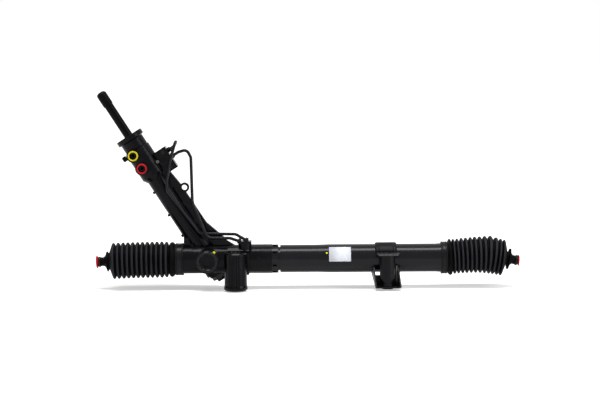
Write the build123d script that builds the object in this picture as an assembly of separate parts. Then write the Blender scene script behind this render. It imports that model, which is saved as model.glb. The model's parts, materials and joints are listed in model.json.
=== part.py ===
from build123d import *
import math
import os

# A hydraulic rack-and-pinion steering gear, supplied without tie rods. The origin is the centre of the
# left mounting bore: +X runs along the rack to the cylinder end, +Y points behind the gear, +Z is up.
# Millimetres throughout. A "station" is a distance along the axis that a piece is turned about.

# ---- fits ----
SEAT = 0.03  # radial gap of a piece that is fixed in its seat
RUN = 0.06  # radial gap of a running fit
SOFT = 0.1  # radial gap of a soft part on its seat

# ---- rack axis and travel ----
RACK_Y = 38.0
RACK_Z = 16.8
RACK_R = 12.0
TRAVEL = 66.0  # each way from straight ahead
RACK_LEFT = -140.0
END_THREAD_R = 7.0
END_THREAD_DEPTH = 24.0

# ---- pinion and teeth, cut in the plane square to the pinion axis ----
CROSS_X = -46.5  # where the pinion crosses the rack
PINION_BEHIND = 14.0  # pinion axis behind the rack axis
TOWER_ANGLE = 57.4  # between the pinion axis and the rack
TEETH = 7
MODULE = 1.85
PRESSURE_ANGLE = 25.0
ADDENDUM = 0.8 * MODULE
PROFILE_SHIFT = 0.4 * MODULE
TIP_CLEARANCE = 0.4
BACKLASH = 0.2
PINION_LOW = -14.5
PINION_HIGH = 16.0
RACK_SPACES_EACH_WAY = 11

# ---- housing casting ----
BARREL_R = 24.0
BARREL_RIGHT_R = 23.4
BARREL_LEFT = -101.0
BARREL_STEP = 2.0  # where the barrel narrows to its right part
BARREL_RIGHT = 59.7
SPIGOT_R = 23.4  # the turned end that carries the boot
SPIGOT_LENGTH = 13.0
RACK_BORE_R = 13.0
BALL_JOINT_R = 19.5  # room for a tie rod's ball joint
BALL_JOINT_DEPTH = 26.0
TOWER_R = 16.0
TOWER_BORE_R = 12.0
TOWER_FLARE_R = 20.0
TOWER_FLARE_TOP = 62.0
VALVE_R = 21.5
VALVE_BORE_R = 17.6
VALVE_LOW = 166.0
VALVE_TOP = 219.0
GUSSET_LEFT = -87.6
GUSSET_TOP = 36.0  # above the rack axis
WEB_THICKNESS = 12.0
WEB_REACH = 29.0
WEB_LOW_REACH = 37.5
WEB_POCKETS = ((34, 62, 27), (67, 97, 26), (102, 134, 23))  # low, high, reach
EYE_X = 31.1
EYE_STATION = 122.0
EYE_R = 8.0
EYE_BORE_R = 4.5
EYE_THICKNESS = 9.0

# ---- left mounting sleeve with its rubber bush ----
SLEEVE_R = 18.7
SLEEVE_FLARE_R = 19.6
SLEEVE_LENGTH = 62.8
SLEEVE_BORE_R = 14.5
SLEEVE_FLUTES = ((-121.0, 1.4), (-107.0, 1.7), (-77.0, 2.6), (-47.0, 1.6))  # turn, radius
FLUTE_LENGTH = 53.0
DIMPLE = (-2.7, 23.8)  # cast dimple high on the sleeve's front: x, z
DIMPLE_R = 2.8
SHOULDER_TOP = 37.0  # cast shoulder behind the sleeve's mouth
BUSH_TUBE_R = 9.0
BOLT_R = 6.2
BUSH_OVERHANG = 1.0

# ---- pinion bearings, cap and nut ----
BEARING_BORE_R = 6.0
BEARING_R = 14.0
BEARING_WIDTH = 8.0
BEARING_TOP = -20.0
BALL_R = 2.4
BALLS = 7
LOWER_BOSS_R = 20.0
LOWER_BOSS_END = -27.0
LOWER_NECK_R = 16.5
LOWER_NECK_END = -31.0
CAP_ACROSS_FLATS = 25.0
CAP_END = -37.3
CAP_HUB_R = 8.2
CAP_HUB_END = -42.3
NUT_ACROSS_FLATS = 17.0
NUT_HEIGHT = 4.0

# ---- rotary valve and input shaft ----
PINION_SHAFT_R = 9.0
NEEDLE_LOW = 145.0
NEEDLE_LENGTH = 14.0
SEAL_LENGTH = 5.0
SLEEVE_LOW = 170.0  # rotary valve sleeve
SLEEVE_HIGH = 222.0
SPOOL_LOW = 187.0
SPOOL_R = 11.0
SPOOL_TOP = 224.5
INPUT_JOURNAL_R = 9.5
INPUT_JOURNAL_TOP = 241.5
INPUT_R = 7.5
INPUT_TOP = 325.0
SPLINE_LENGTH = 24.0
TORSION_BAR_R = 4.0
TORSION_WAIST_R = 2.7
TORSION_LOW = 150.0
VALVE_SLOTS = 6
CAP_R = 8.6
CAP_LOW = INPUT_TOP - 19.3  # the cap grips this much of the shaft
CAP_TOP = INPUT_TOP + 6.0

# ---- valve cover ----
COVER_R = 20.0
COVER_FLANGE_R = 23.8
COVER_FLANGE_LOW = 237.0
COVER_TOP = 245.0
COVER_RIM_R = 20.5  # mouth of the dish in the cover's top
COVER_SPIGOT_R = 19.2
COVER_SPIGOT = 3.5

# ---- ports ----
PORTS = {"yellow": (-9.6, 212.6), "red": (-9.0, 187.0)}
PORT_BOSS_R = 11.0
PORT_FACE = 28.0  # in front of the pinion axis
PORT_BORE_R = 6.2
PORT_DEPTH = 9.0
PORT_DRILL_R = 2.2
PLUG_FLANGE_R = 9.2
PLUG_FLANGE = 2.4
PLUG_BORE_R = 5.1
BLEED_STATION = 215.5
BLEED_BEHIND = 6.0

# ---- cylinder ----
LINER_LEFT = 46.0
LINER_RIGHT = 288.0
LINER_BORE_R = 17.5
LINER_R = 19.9
RACK_SEAL_LEFT = 30.0
BUSH_WIDTH = 7.0
RING_R = 23.8
RING_WIDTH = 10.7
RING_SLOTS = 8
RING_SLOT = 7.2  # length of a slot round the ring
RING_TURN = 27.5  # from the front up to the first slot
JACKET_LEFT = 73.5
JACKET_RIGHT = 351.5
JACKET_R = 23.0
JACKET_SWELL_R = 23.6
SWELL_START = 137.0
SWELL_END = 154.0
JACKET_WALL = 1.5
FLARE_START = 332.0
FLARE_END = 341.0
FLARE_R = 24.3
PISTON_X = 154.0
PISTON_WIDTH = 16.0
END_BUSH_LEFT = 262.0
END_BUSH_WIDTH = 20.0
END_SEAL_WIDTH = 8.0

# ---- yoke ----
YOKE_R = 13.0
YOKE_LINER = 1.0
YOKE_BOSS_R = 20.0
YOKE_FACE = 41.0  # front of the yoke boss, in front of the rack axis
YOKE_PLUG_R = 15.0
YOKE_SEAT = 32.0  # where the plug's inner face lies, in front of the rack axis
SPRING_DISCS = 4
DISC_R = 9.0
DISC_BORE_R = 4.2
DISC_SHEET = 1.0
DISC_DISH = 0.6
LOCK_RING_R = 17.6
LOCK_RING_BORE_R = 12.6
LOCK_RING_WIDTH = 4.5
LOCK_RING_SLOTS = 6
PLUG_HUB = 1.0  # how far the plug stands out inside its lock ring
PLUG_SOCKET = 17.0

# ---- boots ----
FOLDS = 13
FOLD_DEPTH = 4.5
BOOT_WALL = 1.5
CUFF_R = 25.9
CUFF_RIB_R = 27.0
CUFF_RIB = 2.2
LEFT_FOLDS = (-106.0, -203.5)  # first and last fold tops
RIGHT_FOLDS = (356.3, 448.0)
LEFT_ARCH = (0.0, 0.0, -2.4)  # rise of the boot's axis along its folds: at the start, linear, square
RIGHT_ARCH = (0.8, 13.0, -12.3)
LEFT_TOPS = (29.6, 29.6)  # radius of the first and last fold tops
RIGHT_TOPS = (29.2, 30.2)
CLAMP_R = 26.8
NECK_R = 7.5
NECK_BORE_R = 5.4
END_PLUG_R = 10.3

# ---- pipes ----
PIPE_R = 2.6
PIPE_BORE_R = 1.7
UNION_X = 15.0
UNION_Y = 25.0
UNION_R = 11.0
UNION_TOP = 31.5  # above the rack axis
UNION_FOOT = 11.0
BLOCK_X = (22.0, 41.5)
BLOCK_Z = (157.0, 197.5)
BLOCK_Y = (-12.0, 10.0)
BLOCK_SCREWS = ((32.0, 164.0), (34.0, 191.0))
SCREW_PAD = (18.5, 182.5)  # small boss with the screw that closes a drilled passage
SCREW_PAD_R = 3.2
SCREW_FACE = 15.5  # in front of the pinion axis
SCREW_R = 1.5
SCREW_HEAD_R = 2.7
UNION_NUT_FLATS = 8.2
UNION_NUT_LENGTH = 5.0

# ---- right mounting bracket ----
MOUNT_X = 250.7
MOUNT_SLEEVE_R = 12.8
MOUNT_SLEEVE_END_R = 10.2
MOUNT_LOW = -46.8  # below the rack axis
MOUNT_TAPER = (-38.0, -29.0)  # where the sleeve widens
LIP_LOW = 9.6
LIP_THICKNESS = 2.6
LIP_X = (233.3, 270.2)
LIP_CORNER = 4.0
LIP_REACH = 2.5  # in front of the sleeve
SADDLE_THICKNESS = 2.8
SADDLE_X = (231.2, 267.4)
PAD_RISE = 1.0  # pressed pad on the saddle
PAD_INSET = 5.5
SHEET = 2.4
BRACKET_X = (230.5, 273.8)
BRACKET_FLOOR = -44.5
BRACKET_BACK = 24.0  # rear of the bracket, behind the sleeve's axis
BRACKET_TOP = -10.0  # where the side sheets end, inside the line of the jacket
LEFT_LEAN = (3.0, 9.0)  # how far the left sheet leans out at its front and rear top
RIGHT_LEAN = (3.6, 3.6)  # how far the right sheet leans in
WINDOW_TOP = -27.0

# ---- label ----
LABEL_X = (154.6, 191.6)
LABEL_Z = (-4.2, 19.5)
LABEL_THICKNESS = 0.15

# ---- frames: each has its Z along its own axis ----
LEAN = math.radians(TOWER_ANGLE)
RACK = Plane(origin=(0, RACK_Y, RACK_Z), x_dir=(0, -1, 0), z_dir=(1, 0, 0))
CROSSING = Vector(CROSS_X, RACK_Y + PINION_BEHIND, RACK_Z)
TOWER = Plane(
    origin=CROSSING,
    x_dir=(math.sin(LEAN), 0, math.cos(LEAN)),
    z_dir=(-math.cos(LEAN), 0, math.sin(LEAN)),
)
YOKE = Plane(origin=(CROSS_X, RACK_Y, RACK_Z), x_dir=(1, 0, 0), z_dir=(0, -1, 0))
PITCH_R = TEETH * MODULE / 2
TOOTH_PITCH = math.pi * MODULE
PINION_TIP_R = PITCH_R + PROFILE_SHIFT + ADDENDUM


# ---- shared shapes ----
def turned(points, frame=None):
    """Solid of revolution about the frame's Z from (station, radius) points, filled in to the axis."""
    outline = [(0, points[0][0])] + [(radius, station) for station, radius in points]
    outline.append((0, points[-1][0]))
    face = make_face(Plane.XZ * Polyline(*outline, close=True))
    solid = revolve(face, Axis.Z)
    return frame.location * solid if frame else solid


def rod(start, end, radius, frame=None):
    return turned([(start, radius), (end, radius)], frame)


def tube(start, end, radius, bore, frame=None):
    outline = [(bore, start), (radius, start), (radius, end), (bore, end)]
    solid = revolve(make_face(Plane.XZ * Polyline(*outline, close=True)), Axis.Z)
    return frame.location * solid if frame else solid


def block(x, y, z, frame=None):
    """Box between the two limits given for each direction."""
    sizes = [high - low for low, high in (x, y, z)]
    middle = [(high + low) / 2 for low, high in (x, y, z)]
    solid = Pos(*middle) * Box(*sizes)
    return frame.location * solid if frame else solid


def plate(points, start, end, frame):
    """Polygon drawn in the frame's XY plane, made solid between two heights above it."""
    face = make_face(Polyline(*points, close=True))
    return frame.location * Pos(0, 0, start) * extrude(face, end - start)


def hexagon_bar(flats, start, end, frame=None):
    solid = extrude(Pos(0, 0, start) * RegularPolygon(flats / 2, 6, major_radius=False), end - start)
    return frame.location * solid if frame else solid


def ring_of(count, solid, axis_frame):
    """Copies of a solid drawn about the Z axis, evenly round it, as one cutter."""
    copies = [Rot(0, 0, 360 * n / count) * solid for n in range(count)]
    return axis_frame.location * Compound(copies)


# ---- teeth ----
def pinion_outline():
    """Involute teeth in the XY plane, with one tooth pointing to -Y."""
    angle = math.radians(PRESSURE_ANGLE)
    base_r = PITCH_R * math.cos(angle)
    root_r = PITCH_R + PROFILE_SHIFT - ADDENDUM - TIP_CLEARANCE
    thickness = MODULE * math.pi / 2 + 2 * PROFILE_SHIFT * math.tan(angle) - BACKLASH / 2
    half_at_base = thickness / (2 * PITCH_R) + math.tan(angle) - angle
    roll_end = math.sqrt((PINION_TIP_R / base_r) ** 2 - 1)
    steps = 5

    def polar(radius, turn):
        return (radius * math.sin(turn), -radius * math.cos(turn))

    def involute(step, side, middle):
        roll = roll_end * step / steps
        away = half_at_base - (roll - math.atan(roll))
        return polar(base_r * math.sqrt(1 + roll**2), middle + side * away)

    edges = []
    step_angle = 2 * math.pi / TEETH
    for tooth in range(TEETH):
        middle = tooth * step_angle
        rising = [involute(n, -1, middle) for n in range(steps + 1)]
        falling = [involute(n, 1, middle) for n in reversed(range(steps + 1))]
        foot_in = polar(root_r, middle - half_at_base)
        foot_out = polar(root_r, middle + half_at_base)
        next_foot = polar(root_r, middle + step_angle - half_at_base)
        edges.append(Line(foot_in, rising[0]))
        edges.append(Spline(*rising))
        edges.append(ThreePointArc(rising[-1], polar(PINION_TIP_R, middle), falling[0]))
        edges.append(Spline(*falling))
        edges.append(Line(falling[-1], foot_out))
        edges.append(ThreePointArc(foot_out, polar(root_r, middle + step_angle / 2), next_foot))
    return make_face(edges)


def rack_teeth_cutter():
    """All that is cut from the bar for its teeth. They run parallel to the pinion axis, so they are slanted."""
    slope = math.tan(math.radians(PRESSURE_ANGLE))
    tip = PITCH_R + PROFILE_SHIFT - ADDENDUM
    middle = PITCH_R + PROFILE_SHIFT
    root = PINION_TIP_R + TIP_CLEARANCE
    wide = TOOTH_PITCH / 4 + (middle - tip) * slope + BACKLASH / 4
    narrow = TOOTH_PITCH / 4 - (root - middle) * slope + BACKLASH / 4
    end = (RACK_SPACES_EACH_WAY + 0.5) * TOOTH_PITCH
    above = PINION_BEHIND - RACK_R - 1
    points = [(-end, -above), (-end, -tip)]
    for space in range(-RACK_SPACES_EACH_WAY, RACK_SPACES_EACH_WAY + 1):
        x = space * TOOTH_PITCH
        points += [(x - wide, -tip), (x - narrow, -root), (x + narrow, -root), (x + wide, -tip)]
    points += [(end, -tip), (end, -above)]
    reach = end / math.tan(LEAN) + 2 * RACK_R
    return plate(points, -reach, reach, TOWER)


# ---- rack group ----
def rack_right():
    return END_BUSH_LEFT + END_BUSH_WIDTH + TRAVEL + 8


CLIP_WIDTH = 1.6
CLIP_DEPTH = 1.0


def rack_bar():
    left, right = RACK_LEFT, rack_right()
    bar = turned([(left, RACK_R - 1.5), (left + 1.5, RACK_R), (right - 1.5, RACK_R), (right, RACK_R - 1.5)], RACK)
    bar -= rod(left - 1, left + END_THREAD_DEPTH, END_THREAD_R, RACK)
    bar -= rod(right - END_THREAD_DEPTH, right + 1, END_THREAD_R, RACK)
    for start in clip_starts():
        bar -= tube(start, start + CLIP_WIDTH, RACK_R + 1, RACK_R - CLIP_DEPTH, RACK)
    return bar - rack_teeth_cutter()


def clip_starts():
    return (PISTON_X - PISTON_WIDTH / 2 - CLIP_WIDTH, PISTON_X + PISTON_WIDTH / 2)


def piston():
    half = PISTON_WIDTH / 2
    body = tube(PISTON_X - half, PISTON_X + half, LINER_BORE_R - 0.1, RACK_R + SEAT, RACK)
    return body - tube(PISTON_X - 3, PISTON_X + 3, LINER_BORE_R, LINER_BORE_R - 2.5, RACK)


def piston_ring():
    return tube(PISTON_X - 3, PISTON_X + 3, LINER_BORE_R - RUN, LINER_BORE_R - 2.5 + SEAT, RACK)


def piston_clips():
    bore = RACK_R - CLIP_DEPTH + SEAT
    return Compound([tube(at, at + CLIP_WIDTH, RACK_R + 1.2, bore, RACK) for at in clip_starts()])


# ---- housing ----
def sleeve_solid():
    """The left mounting sleeve, upright at the origin, with its cast flutes."""
    half = SLEEVE_LENGTH / 2
    body = turned(
        [
            (-half, SLEEVE_FLARE_R - 2.6),
            (-half + 2.6, SLEEVE_FLARE_R),
            (-half + 6, SLEEVE_FLARE_R),
            (-half + 9, SLEEVE_R),
            (half - 2, SLEEVE_R),
            (half, SLEEVE_R - 2),
        ]
    )
    for turn, radius in SLEEVE_FLUTES:
        body -= Rot(0, 0, turn) * Pos(SLEEVE_R + radius / 3, 0, 0.5) * Cylinder(radius, FLUTE_LENGTH)
    x, z = DIMPLE
    return body - Pos(x, -SLEEVE_R, z) * Rot(90, 0, 0) * Cylinder(DIMPLE_R, 5)


def tower_web():
    """The cast web up the tower's right side with its lightening pockets."""
    points = [
        (0, 12),
        (WEB_LOW_REACH - 8, 6),
        (WEB_LOW_REACH + 4, 14),
        (WEB_LOW_REACH, 28),
        (WEB_REACH + 1, 53),
        (WEB_REACH, EYE_STATION + 9),
        (WEB_REACH - 3, BLOCK_Z[0]),
        (0, BLOCK_Z[0]),
    ]
    side = Plane(origin=TOWER.origin, x_dir=TOWER.x_dir, z_dir=-TOWER.y_dir)
    half = WEB_THICKNESS / 2
    web = plate(points, -half, half, side)
    left, core = TOWER_R - 6, 3
    for low, high, right in WEB_POCKETS:
        outline = [(left, low), (right, low + 4), (right, high - 4), (left, high)]
        web -= plate(outline, core, half + 1, side)
        web -= plate(outline, -half - 1, -core, side)
    for face in (-1, 1):
        web -= across(EYE_X, EYE_STATION, face * EYE_THICKNESS / 2, face * WEB_THICKNESS, EYE_R + 0.5)
    return web


def tower_outside():
    """The tower, valve housing and lower pinion boss, about the pinion axis."""
    return turned(
        [
            (LOWER_NECK_END, LOWER_NECK_R),
            (LOWER_BOSS_END, LOWER_NECK_R),
            (LOWER_BOSS_END, LOWER_BOSS_R),
            (8, TOWER_FLARE_R),
            (TOWER_FLARE_TOP, TOWER_R),
            (VALVE_LOW - 6, TOWER_R),
            (VALVE_LOW + 2, VALVE_R),
            (VALVE_TOP - 1, VALVE_R),
            (VALVE_TOP, VALVE_R - 1),
        ],
        TOWER,
    )


def across(x, z, start, end, radius):
    """Rod square to the tower's side face: start and end are distances in front of the pinion axis."""
    frame = Plane(origin=(x, 0, z), x_dir=(1, 0, 0), z_dir=(0, -1, 0))
    return TOWER.location * rod(min(start, end), max(start, end), radius, frame)


def port_bosses():
    bosses = [across(x, z, 0, PORT_FACE, PORT_BOSS_R) for x, z in PORTS.values()]
    return Compound(bosses)


def barrel_outside():
    return turned(
        [
            (BARREL_LEFT, SPIGOT_R),
            (BARREL_LEFT + SPIGOT_LENGTH, SPIGOT_R),
            (BARREL_LEFT + SPIGOT_LENGTH, BARREL_R),
            (BARREL_STEP - 4, BARREL_R),
            (BARREL_STEP, BARREL_RIGHT_R),
            (BARREL_RIGHT, BARREL_RIGHT_R),
        ],
        RACK,
    )


def union_boss():
    """The column in front of the barrel where both pipes end, with a square-edged top."""
    boss = Pos(UNION_X, UNION_Y, RACK_Z) * turned([(UNION_FOOT, UNION_R), (UNION_TOP, UNION_R)])
    top = block(
        (UNION_X - UNION_R, UNION_X + UNION_R),
        (UNION_Y - UNION_R, RACK_Y),
        (RACK_Z + UNION_TOP - 3, RACK_Z + UNION_TOP),
    )
    backing = block((UNION_X - 7, UNION_X + 7), (UNION_Y, RACK_Y), (RACK_Z, RACK_Z + UNION_TOP - 1))
    return boss + fillet(top.edges().filter_by(Axis.Z), 3) + backing


def barrel_ribs():
    """Raised casting marks on the barrel: the parting line and the two oblique bars."""
    ridge = block(
        (BARREL_STEP, BARREL_RIGHT),
        (RACK_Y - 1, RACK_Y + 1),
        (RACK_Z - BARREL_RIGHT_R - 0.8, RACK_Z + BARREL_RIGHT_R + 0.8),
    )
    bars = []
    for x, length in ((40.5, 12.0), (54.0, 7.0)):
        bar = Box(length, 4, 3.0)
        bars.append(Pos(x, RACK_Y - BARREL_RIGHT_R + 0.9, RACK_Z + 3) * Rot(0, 28, 0) * bar)
    return [ridge] + bars


def sleeve_web():
    """Ribbed casting between the barrel, the yoke boss and the mounting sleeve."""
    top = SLEEVE_LENGTH / 2
    wall_foot = CROSS_X + 8
    wall = [(wall_foot, 0), (wall_foot, 33), (-17.5, 33), (3, 20), (3, 0)]
    upright = Plane(origin=(0, RACK_Y + 6, RACK_Z), x_dir=(1, 0, 0), z_dir=(0, -1, 0))
    shoulder = block((-13, 22), (BUSH_TUBE_R + 5, RACK_Y - 10), (0, SHOULDER_TOP))
    return [
        block((-13, 22), (8, RACK_Y), (RACK_Z - BARREL_RIGHT_R, top - 2)),
        chamfer(shoulder.edges().filter_by(Axis.X).sort_by(Axis.Z)[-2:], 4),
        block((CROSS_X, -10), (RACK_Y - 18, RACK_Y), (RACK_Z - 4, RACK_Z + 4)),
        plate(wall, 0, 9, upright),
    ]


def tower_foot():
    """Gusset that closes the corner between the tower's left side and the barrel."""
    return block((GUSSET_LEFT, CROSS_X), (RACK_Y, RACK_Y + PINION_BEHIND + 6), (RACK_Z, RACK_Z + GUSSET_TOP))


def block_seat():
    """Flat seat for the port block on the side of the valve housing, and the screw boss before it."""
    low, high = BLOCK_Z
    seat = block((VALVE_BORE_R - 4, BLOCK_X[0]), (BLOCK_Y[0] + 2, BLOCK_Y[1] - 2), (low, high - 2), TOWER)
    return [seat, across(*SCREW_PAD, 2, SCREW_FACE, SCREW_PAD_R)]


def yoke_ribs():
    """Two ribs that run from the yoke boss up the front of the tower."""
    ribs = []
    for x in (-12.0, 6.0):
        ribs.append(block((x, x + 4), (-TOWER_FLARE_R - 2, -6), (12, 36), TOWER))
    return ribs


def rack_housing():
    body = barrel_outside() + tower_outside()
    body += rod(0, YOKE_FACE, YOKE_BOSS_R, YOKE)
    body += sleeve_solid()
    for piece in (*sleeve_web(), *barrel_ribs(), *yoke_ribs(), *port_bosses(), *block_seat()):
        body += piece
    body += union_boss() + tower_foot()
    body += tower_web()
    body += across(EYE_X, EYE_STATION, -EYE_THICKNESS / 2, EYE_THICKNESS / 2, EYE_R)
    for station in (56, 97, 142):
        body += block((-TOWER_R - 2.2, 0), (-5, 5), (station - 2, station + 2), TOWER)
    return cut_housing(body)


def cut_housing(body):
    body -= rod(BARREL_LEFT - 1, RACK_SEAL_LEFT, RACK_BORE_R, RACK)
    body -= rod(BARREL_LEFT - 1, BARREL_LEFT + BALL_JOINT_DEPTH, BALL_JOINT_R, RACK)
    body -= rod(RACK_SEAL_LEFT, LINER_LEFT, seal_pocket_r(), RACK)
    body -= rod(LINER_LEFT, BARREL_RIGHT + 1, LINER_R + SEAT, RACK)
    body -= rod(BEARING_TOP, VALVE_LOW, TOWER_BORE_R, TOWER)
    body -= rod(LOWER_NECK_END - 1, BEARING_TOP, BEARING_R + SEAT, TOWER)
    body -= rod(VALVE_LOW, VALVE_TOP + 1, VALVE_BORE_R, TOWER)
    body -= rod(VALVE_TOP, VALVE_TOP + PORT_BOSS_R, COVER_R + SEAT, TOWER)
    body -= rod(CAP_END - 1, LOWER_NECK_END, CAP_ACROSS_FLATS / math.sqrt(3) + 1, TOWER)
    body -= rod(VALVE_TOP - COVER_SPIGOT, VALVE_TOP + 1, COVER_SPIGOT_R + SEAT, TOWER)
    body -= rod(0, YOKE_SEAT, YOKE_R + SEAT, YOKE)
    body -= rod(YOKE_SEAT, YOKE_FACE + 1, YOKE_PLUG_R + SEAT, YOKE)
    body -= Cylinder(SLEEVE_BORE_R, SLEEVE_LENGTH + 2)
    body -= across(EYE_X, EYE_STATION, -EYE_THICKNESS, EYE_THICKNESS, EYE_BORE_R)
    for x, z in PORTS.values():
        body -= across(x, z, PORT_FACE - PORT_DEPTH, PORT_FACE + 1, PORT_BORE_R)
        body -= across(x, z, 4, PORT_FACE, PORT_DRILL_R)
    for end in boss_ends():
        body -= rod(0, UNION_NUT_LENGTH * 2, UNION_NUT_FLATS / math.sqrt(3) + 0.3, end)
        body -= rod(-12, 1, PIPE_BORE_R, end)
    body -= across(*SCREW_PAD, SCREW_FACE - 8, SCREW_FACE + 1, SCREW_R + SEAT)
    return body - block(BLOCK_X, BLOCK_Y, BLOCK_Z, TOWER)


# ---- pinion bearing, cap and nut ----
def bearing_groove():
    middle = BEARING_TOP - BEARING_WIDTH / 2
    return TOWER.location * Pos(0, 0, middle) * Torus(bearing_pitch_r(), BALL_R + RUN)


def bearing_pitch_r():
    return (BEARING_BORE_R + BEARING_R) / 2


def bearing_outer_ring():
    bore = bearing_pitch_r() + 1.4
    return tube(BEARING_TOP - BEARING_WIDTH, BEARING_TOP, BEARING_R, bore, TOWER) - bearing_groove()


def bearing_inner_ring():
    outside = bearing_pitch_r() - 1.4
    ring = tube(BEARING_TOP - BEARING_WIDTH, BEARING_TOP, outside, BEARING_BORE_R + SEAT, TOWER)
    return ring - bearing_groove()


def bearing_balls():
    ball = Pos(bearing_pitch_r(), 0, BEARING_TOP - BEARING_WIDTH / 2) * Sphere(BALL_R)
    return ring_of(BALLS, ball, TOWER)


def lower_bearing_cap():
    low = BEARING_TOP - BEARING_WIDTH
    cap = hexagon_bar(CAP_ACROSS_FLATS, CAP_END, LOWER_NECK_END, TOWER)
    cap += rod(LOWER_NECK_END, low, BEARING_R - SOFT, TOWER)
    cap += rod(CAP_HUB_END, CAP_END, CAP_HUB_R, TOWER)
    return cap - rod(CAP_END + 3, low + 1, BEARING_R - 3, TOWER)


def pinion_nut():
    top = BEARING_TOP - BEARING_WIDTH
    nut = hexagon_bar(NUT_ACROSS_FLATS, top - NUT_HEIGHT, top, TOWER)
    return nut - rod(top - NUT_HEIGHT - 1, top + 1, BEARING_BORE_R + SEAT, TOWER)


# ---- pinion, rotary valve and input shaft ----
DRIVE_PIN_STATION = SLEEVE_LOW + 5
DRIVE_PIN_R = 1.5
TORSION_PIN_STATION = INPUT_TOP - 9
TORSION_PIN_R = 1.5


def side_pin(station, start, end, radius):
    """Pin that points away from the pinion axis to the tower's right."""
    frame = Plane(origin=(0, 0, station), x_dir=(0, 1, 0), z_dir=(1, 0, 0))
    return TOWER.location * rod(start, end, radius, frame)


def pinion():
    low = BEARING_TOP - BEARING_WIDTH - NUT_HEIGHT - 1.0
    shaft = turned(
        [
            (low, BEARING_BORE_R - 1),
            (low + 1, BEARING_BORE_R),
            (BEARING_TOP, BEARING_BORE_R),
            (BEARING_TOP, BEARING_BORE_R + 1.2),
            (PINION_LOW, BEARING_BORE_R + 1.2),
            (PINION_HIGH, BEARING_BORE_R + 1.2),
            (PINION_HIGH, PINION_SHAFT_R),
            (SPOOL_LOW - 1.5, PINION_SHAFT_R),
        ],
        TOWER,
    )
    teeth = TOWER.location * Pos(0, 0, PINION_LOW) * extrude(pinion_outline(), PINION_HIGH - PINION_LOW)
    core = rod(PINION_LOW, PINION_HIGH, 4, TOWER)
    shaft -= rod(PINION_LOW, PINION_HIGH, PINION_TIP_R + 1, TOWER)
    body = shaft + teeth + core
    body -= rod(TORSION_LOW - 1, SPOOL_LOW, TORSION_BAR_R + RUN, TOWER)
    return body - side_pin(DRIVE_PIN_STATION, TORSION_BAR_R + 1, SLEEVE_HIGH, DRIVE_PIN_R)


def valve_slots(radius, start, end):
    """Axial oil slots, evenly spaced about the pinion axis."""
    slot = block((radius - 1.2, radius + 1.2), (-1.6, 1.6), (start, end))
    return ring_of(VALVE_SLOTS, slot, TOWER)


def seal_ring_stations():
    ports = sorted(z for x, z in PORTS.values())
    return (ports[0] - 6.5, ports[0] + 6.5, ports[1] - 6.5, ports[1] + 6.5)


def valve_sleeve():
    outside = VALVE_BORE_R - RUN
    body = tube(SLEEVE_LOW, SLEEVE_HIGH, outside, SPOOL_R + RUN, TOWER)
    body += tube(SLEEVE_LOW, SPOOL_LOW - 1, outside - 1, PINION_SHAFT_R + SEAT, TOWER)
    for x, station in PORTS.values():
        body -= tube(station - 3, station + 3, outside + 1, outside - 1.6, TOWER)
    for station in seal_ring_stations():
        body -= tube(station - 1, station + 1, outside + 1, outside - 1.5, TOWER)
    body -= valve_slots(SPOOL_R + RUN, SPOOL_LOW + 7, SLEEVE_HIGH - 7)
    return body - side_pin(DRIVE_PIN_STATION, 0, SLEEVE_HIGH, DRIVE_PIN_R)


def valve_seal_rings():
    outside = VALVE_BORE_R - RUN
    rings = [
        tube(station - 1 + SEAT, station + 1 - SEAT, outside + SEAT, outside - 1.5 + SEAT, TOWER)
        for station in seal_ring_stations()
    ]
    return Compound(rings)


def drive_pin():
    return side_pin(DRIVE_PIN_STATION, TORSION_BAR_R + 1.2, VALVE_BORE_R - 0.4, DRIVE_PIN_R - SEAT)


def input_shaft():
    shaft = turned(
        [
            (SPOOL_LOW, SPOOL_R),
            (SPOOL_TOP, SPOOL_R),
            (SPOOL_TOP, INPUT_JOURNAL_R),
            (INPUT_JOURNAL_TOP, INPUT_JOURNAL_R),
            (INPUT_JOURNAL_TOP, INPUT_R),
            (INPUT_TOP - 1, INPUT_R),
            (INPUT_TOP, INPUT_R - 1),
        ],
        TOWER,
    )
    shaft -= rod(SPOOL_LOW - 1, INPUT_TOP + 1, TORSION_BAR_R + SEAT, TOWER)
    shift = Rot(0, 0, 180 / VALVE_SLOTS)
    slot = shift * block((SPOOL_R - 1.2, SPOOL_R + 1.2), (-1.6, 1.6), (SPOOL_LOW + 7, SLEEVE_HIGH - 7))
    shaft -= ring_of(VALVE_SLOTS, slot, TOWER)
    spline = block((INPUT_R - 0.6, INPUT_R + 1), (-0.4, 0.4), (INPUT_TOP - SPLINE_LENGTH, INPUT_TOP + 1))
    shaft -= ring_of(18, spline, TOWER)
    return shaft - side_pin(TORSION_PIN_STATION, -INPUT_R - 1, INPUT_R + 1, TORSION_PIN_R)


def torsion_bar():
    head = INPUT_TOP - SPLINE_LENGTH
    bar = turned(
        [
            (TORSION_LOW, TORSION_BAR_R),
            (TORSION_LOW + 14, TORSION_BAR_R),
            (TORSION_LOW + 17, TORSION_WAIST_R),
            (head - 3, TORSION_WAIST_R),
            (head, TORSION_BAR_R),
            (INPUT_TOP - 1, TORSION_BAR_R),
        ],
        TOWER,
    )
    return bar - side_pin(TORSION_PIN_STATION, -INPUT_R, INPUT_R, TORSION_PIN_R)


def torsion_bar_pin():
    return side_pin(TORSION_PIN_STATION, -INPUT_R + 0.7, INPUT_R - 0.7, TORSION_PIN_R - SEAT)


def pinion_needle_bearing():
    end = NEEDLE_LOW + NEEDLE_LENGTH
    return tube(NEEDLE_LOW, end, TOWER_BORE_R - SEAT, PINION_SHAFT_R + RUN, TOWER)


def pinion_oil_seal():
    start = NEEDLE_LOW + NEEDLE_LENGTH + 0.5
    return tube(start, start + SEAL_LENGTH, TOWER_BORE_R - SEAT, PINION_SHAFT_R + RUN, TOWER)


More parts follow.
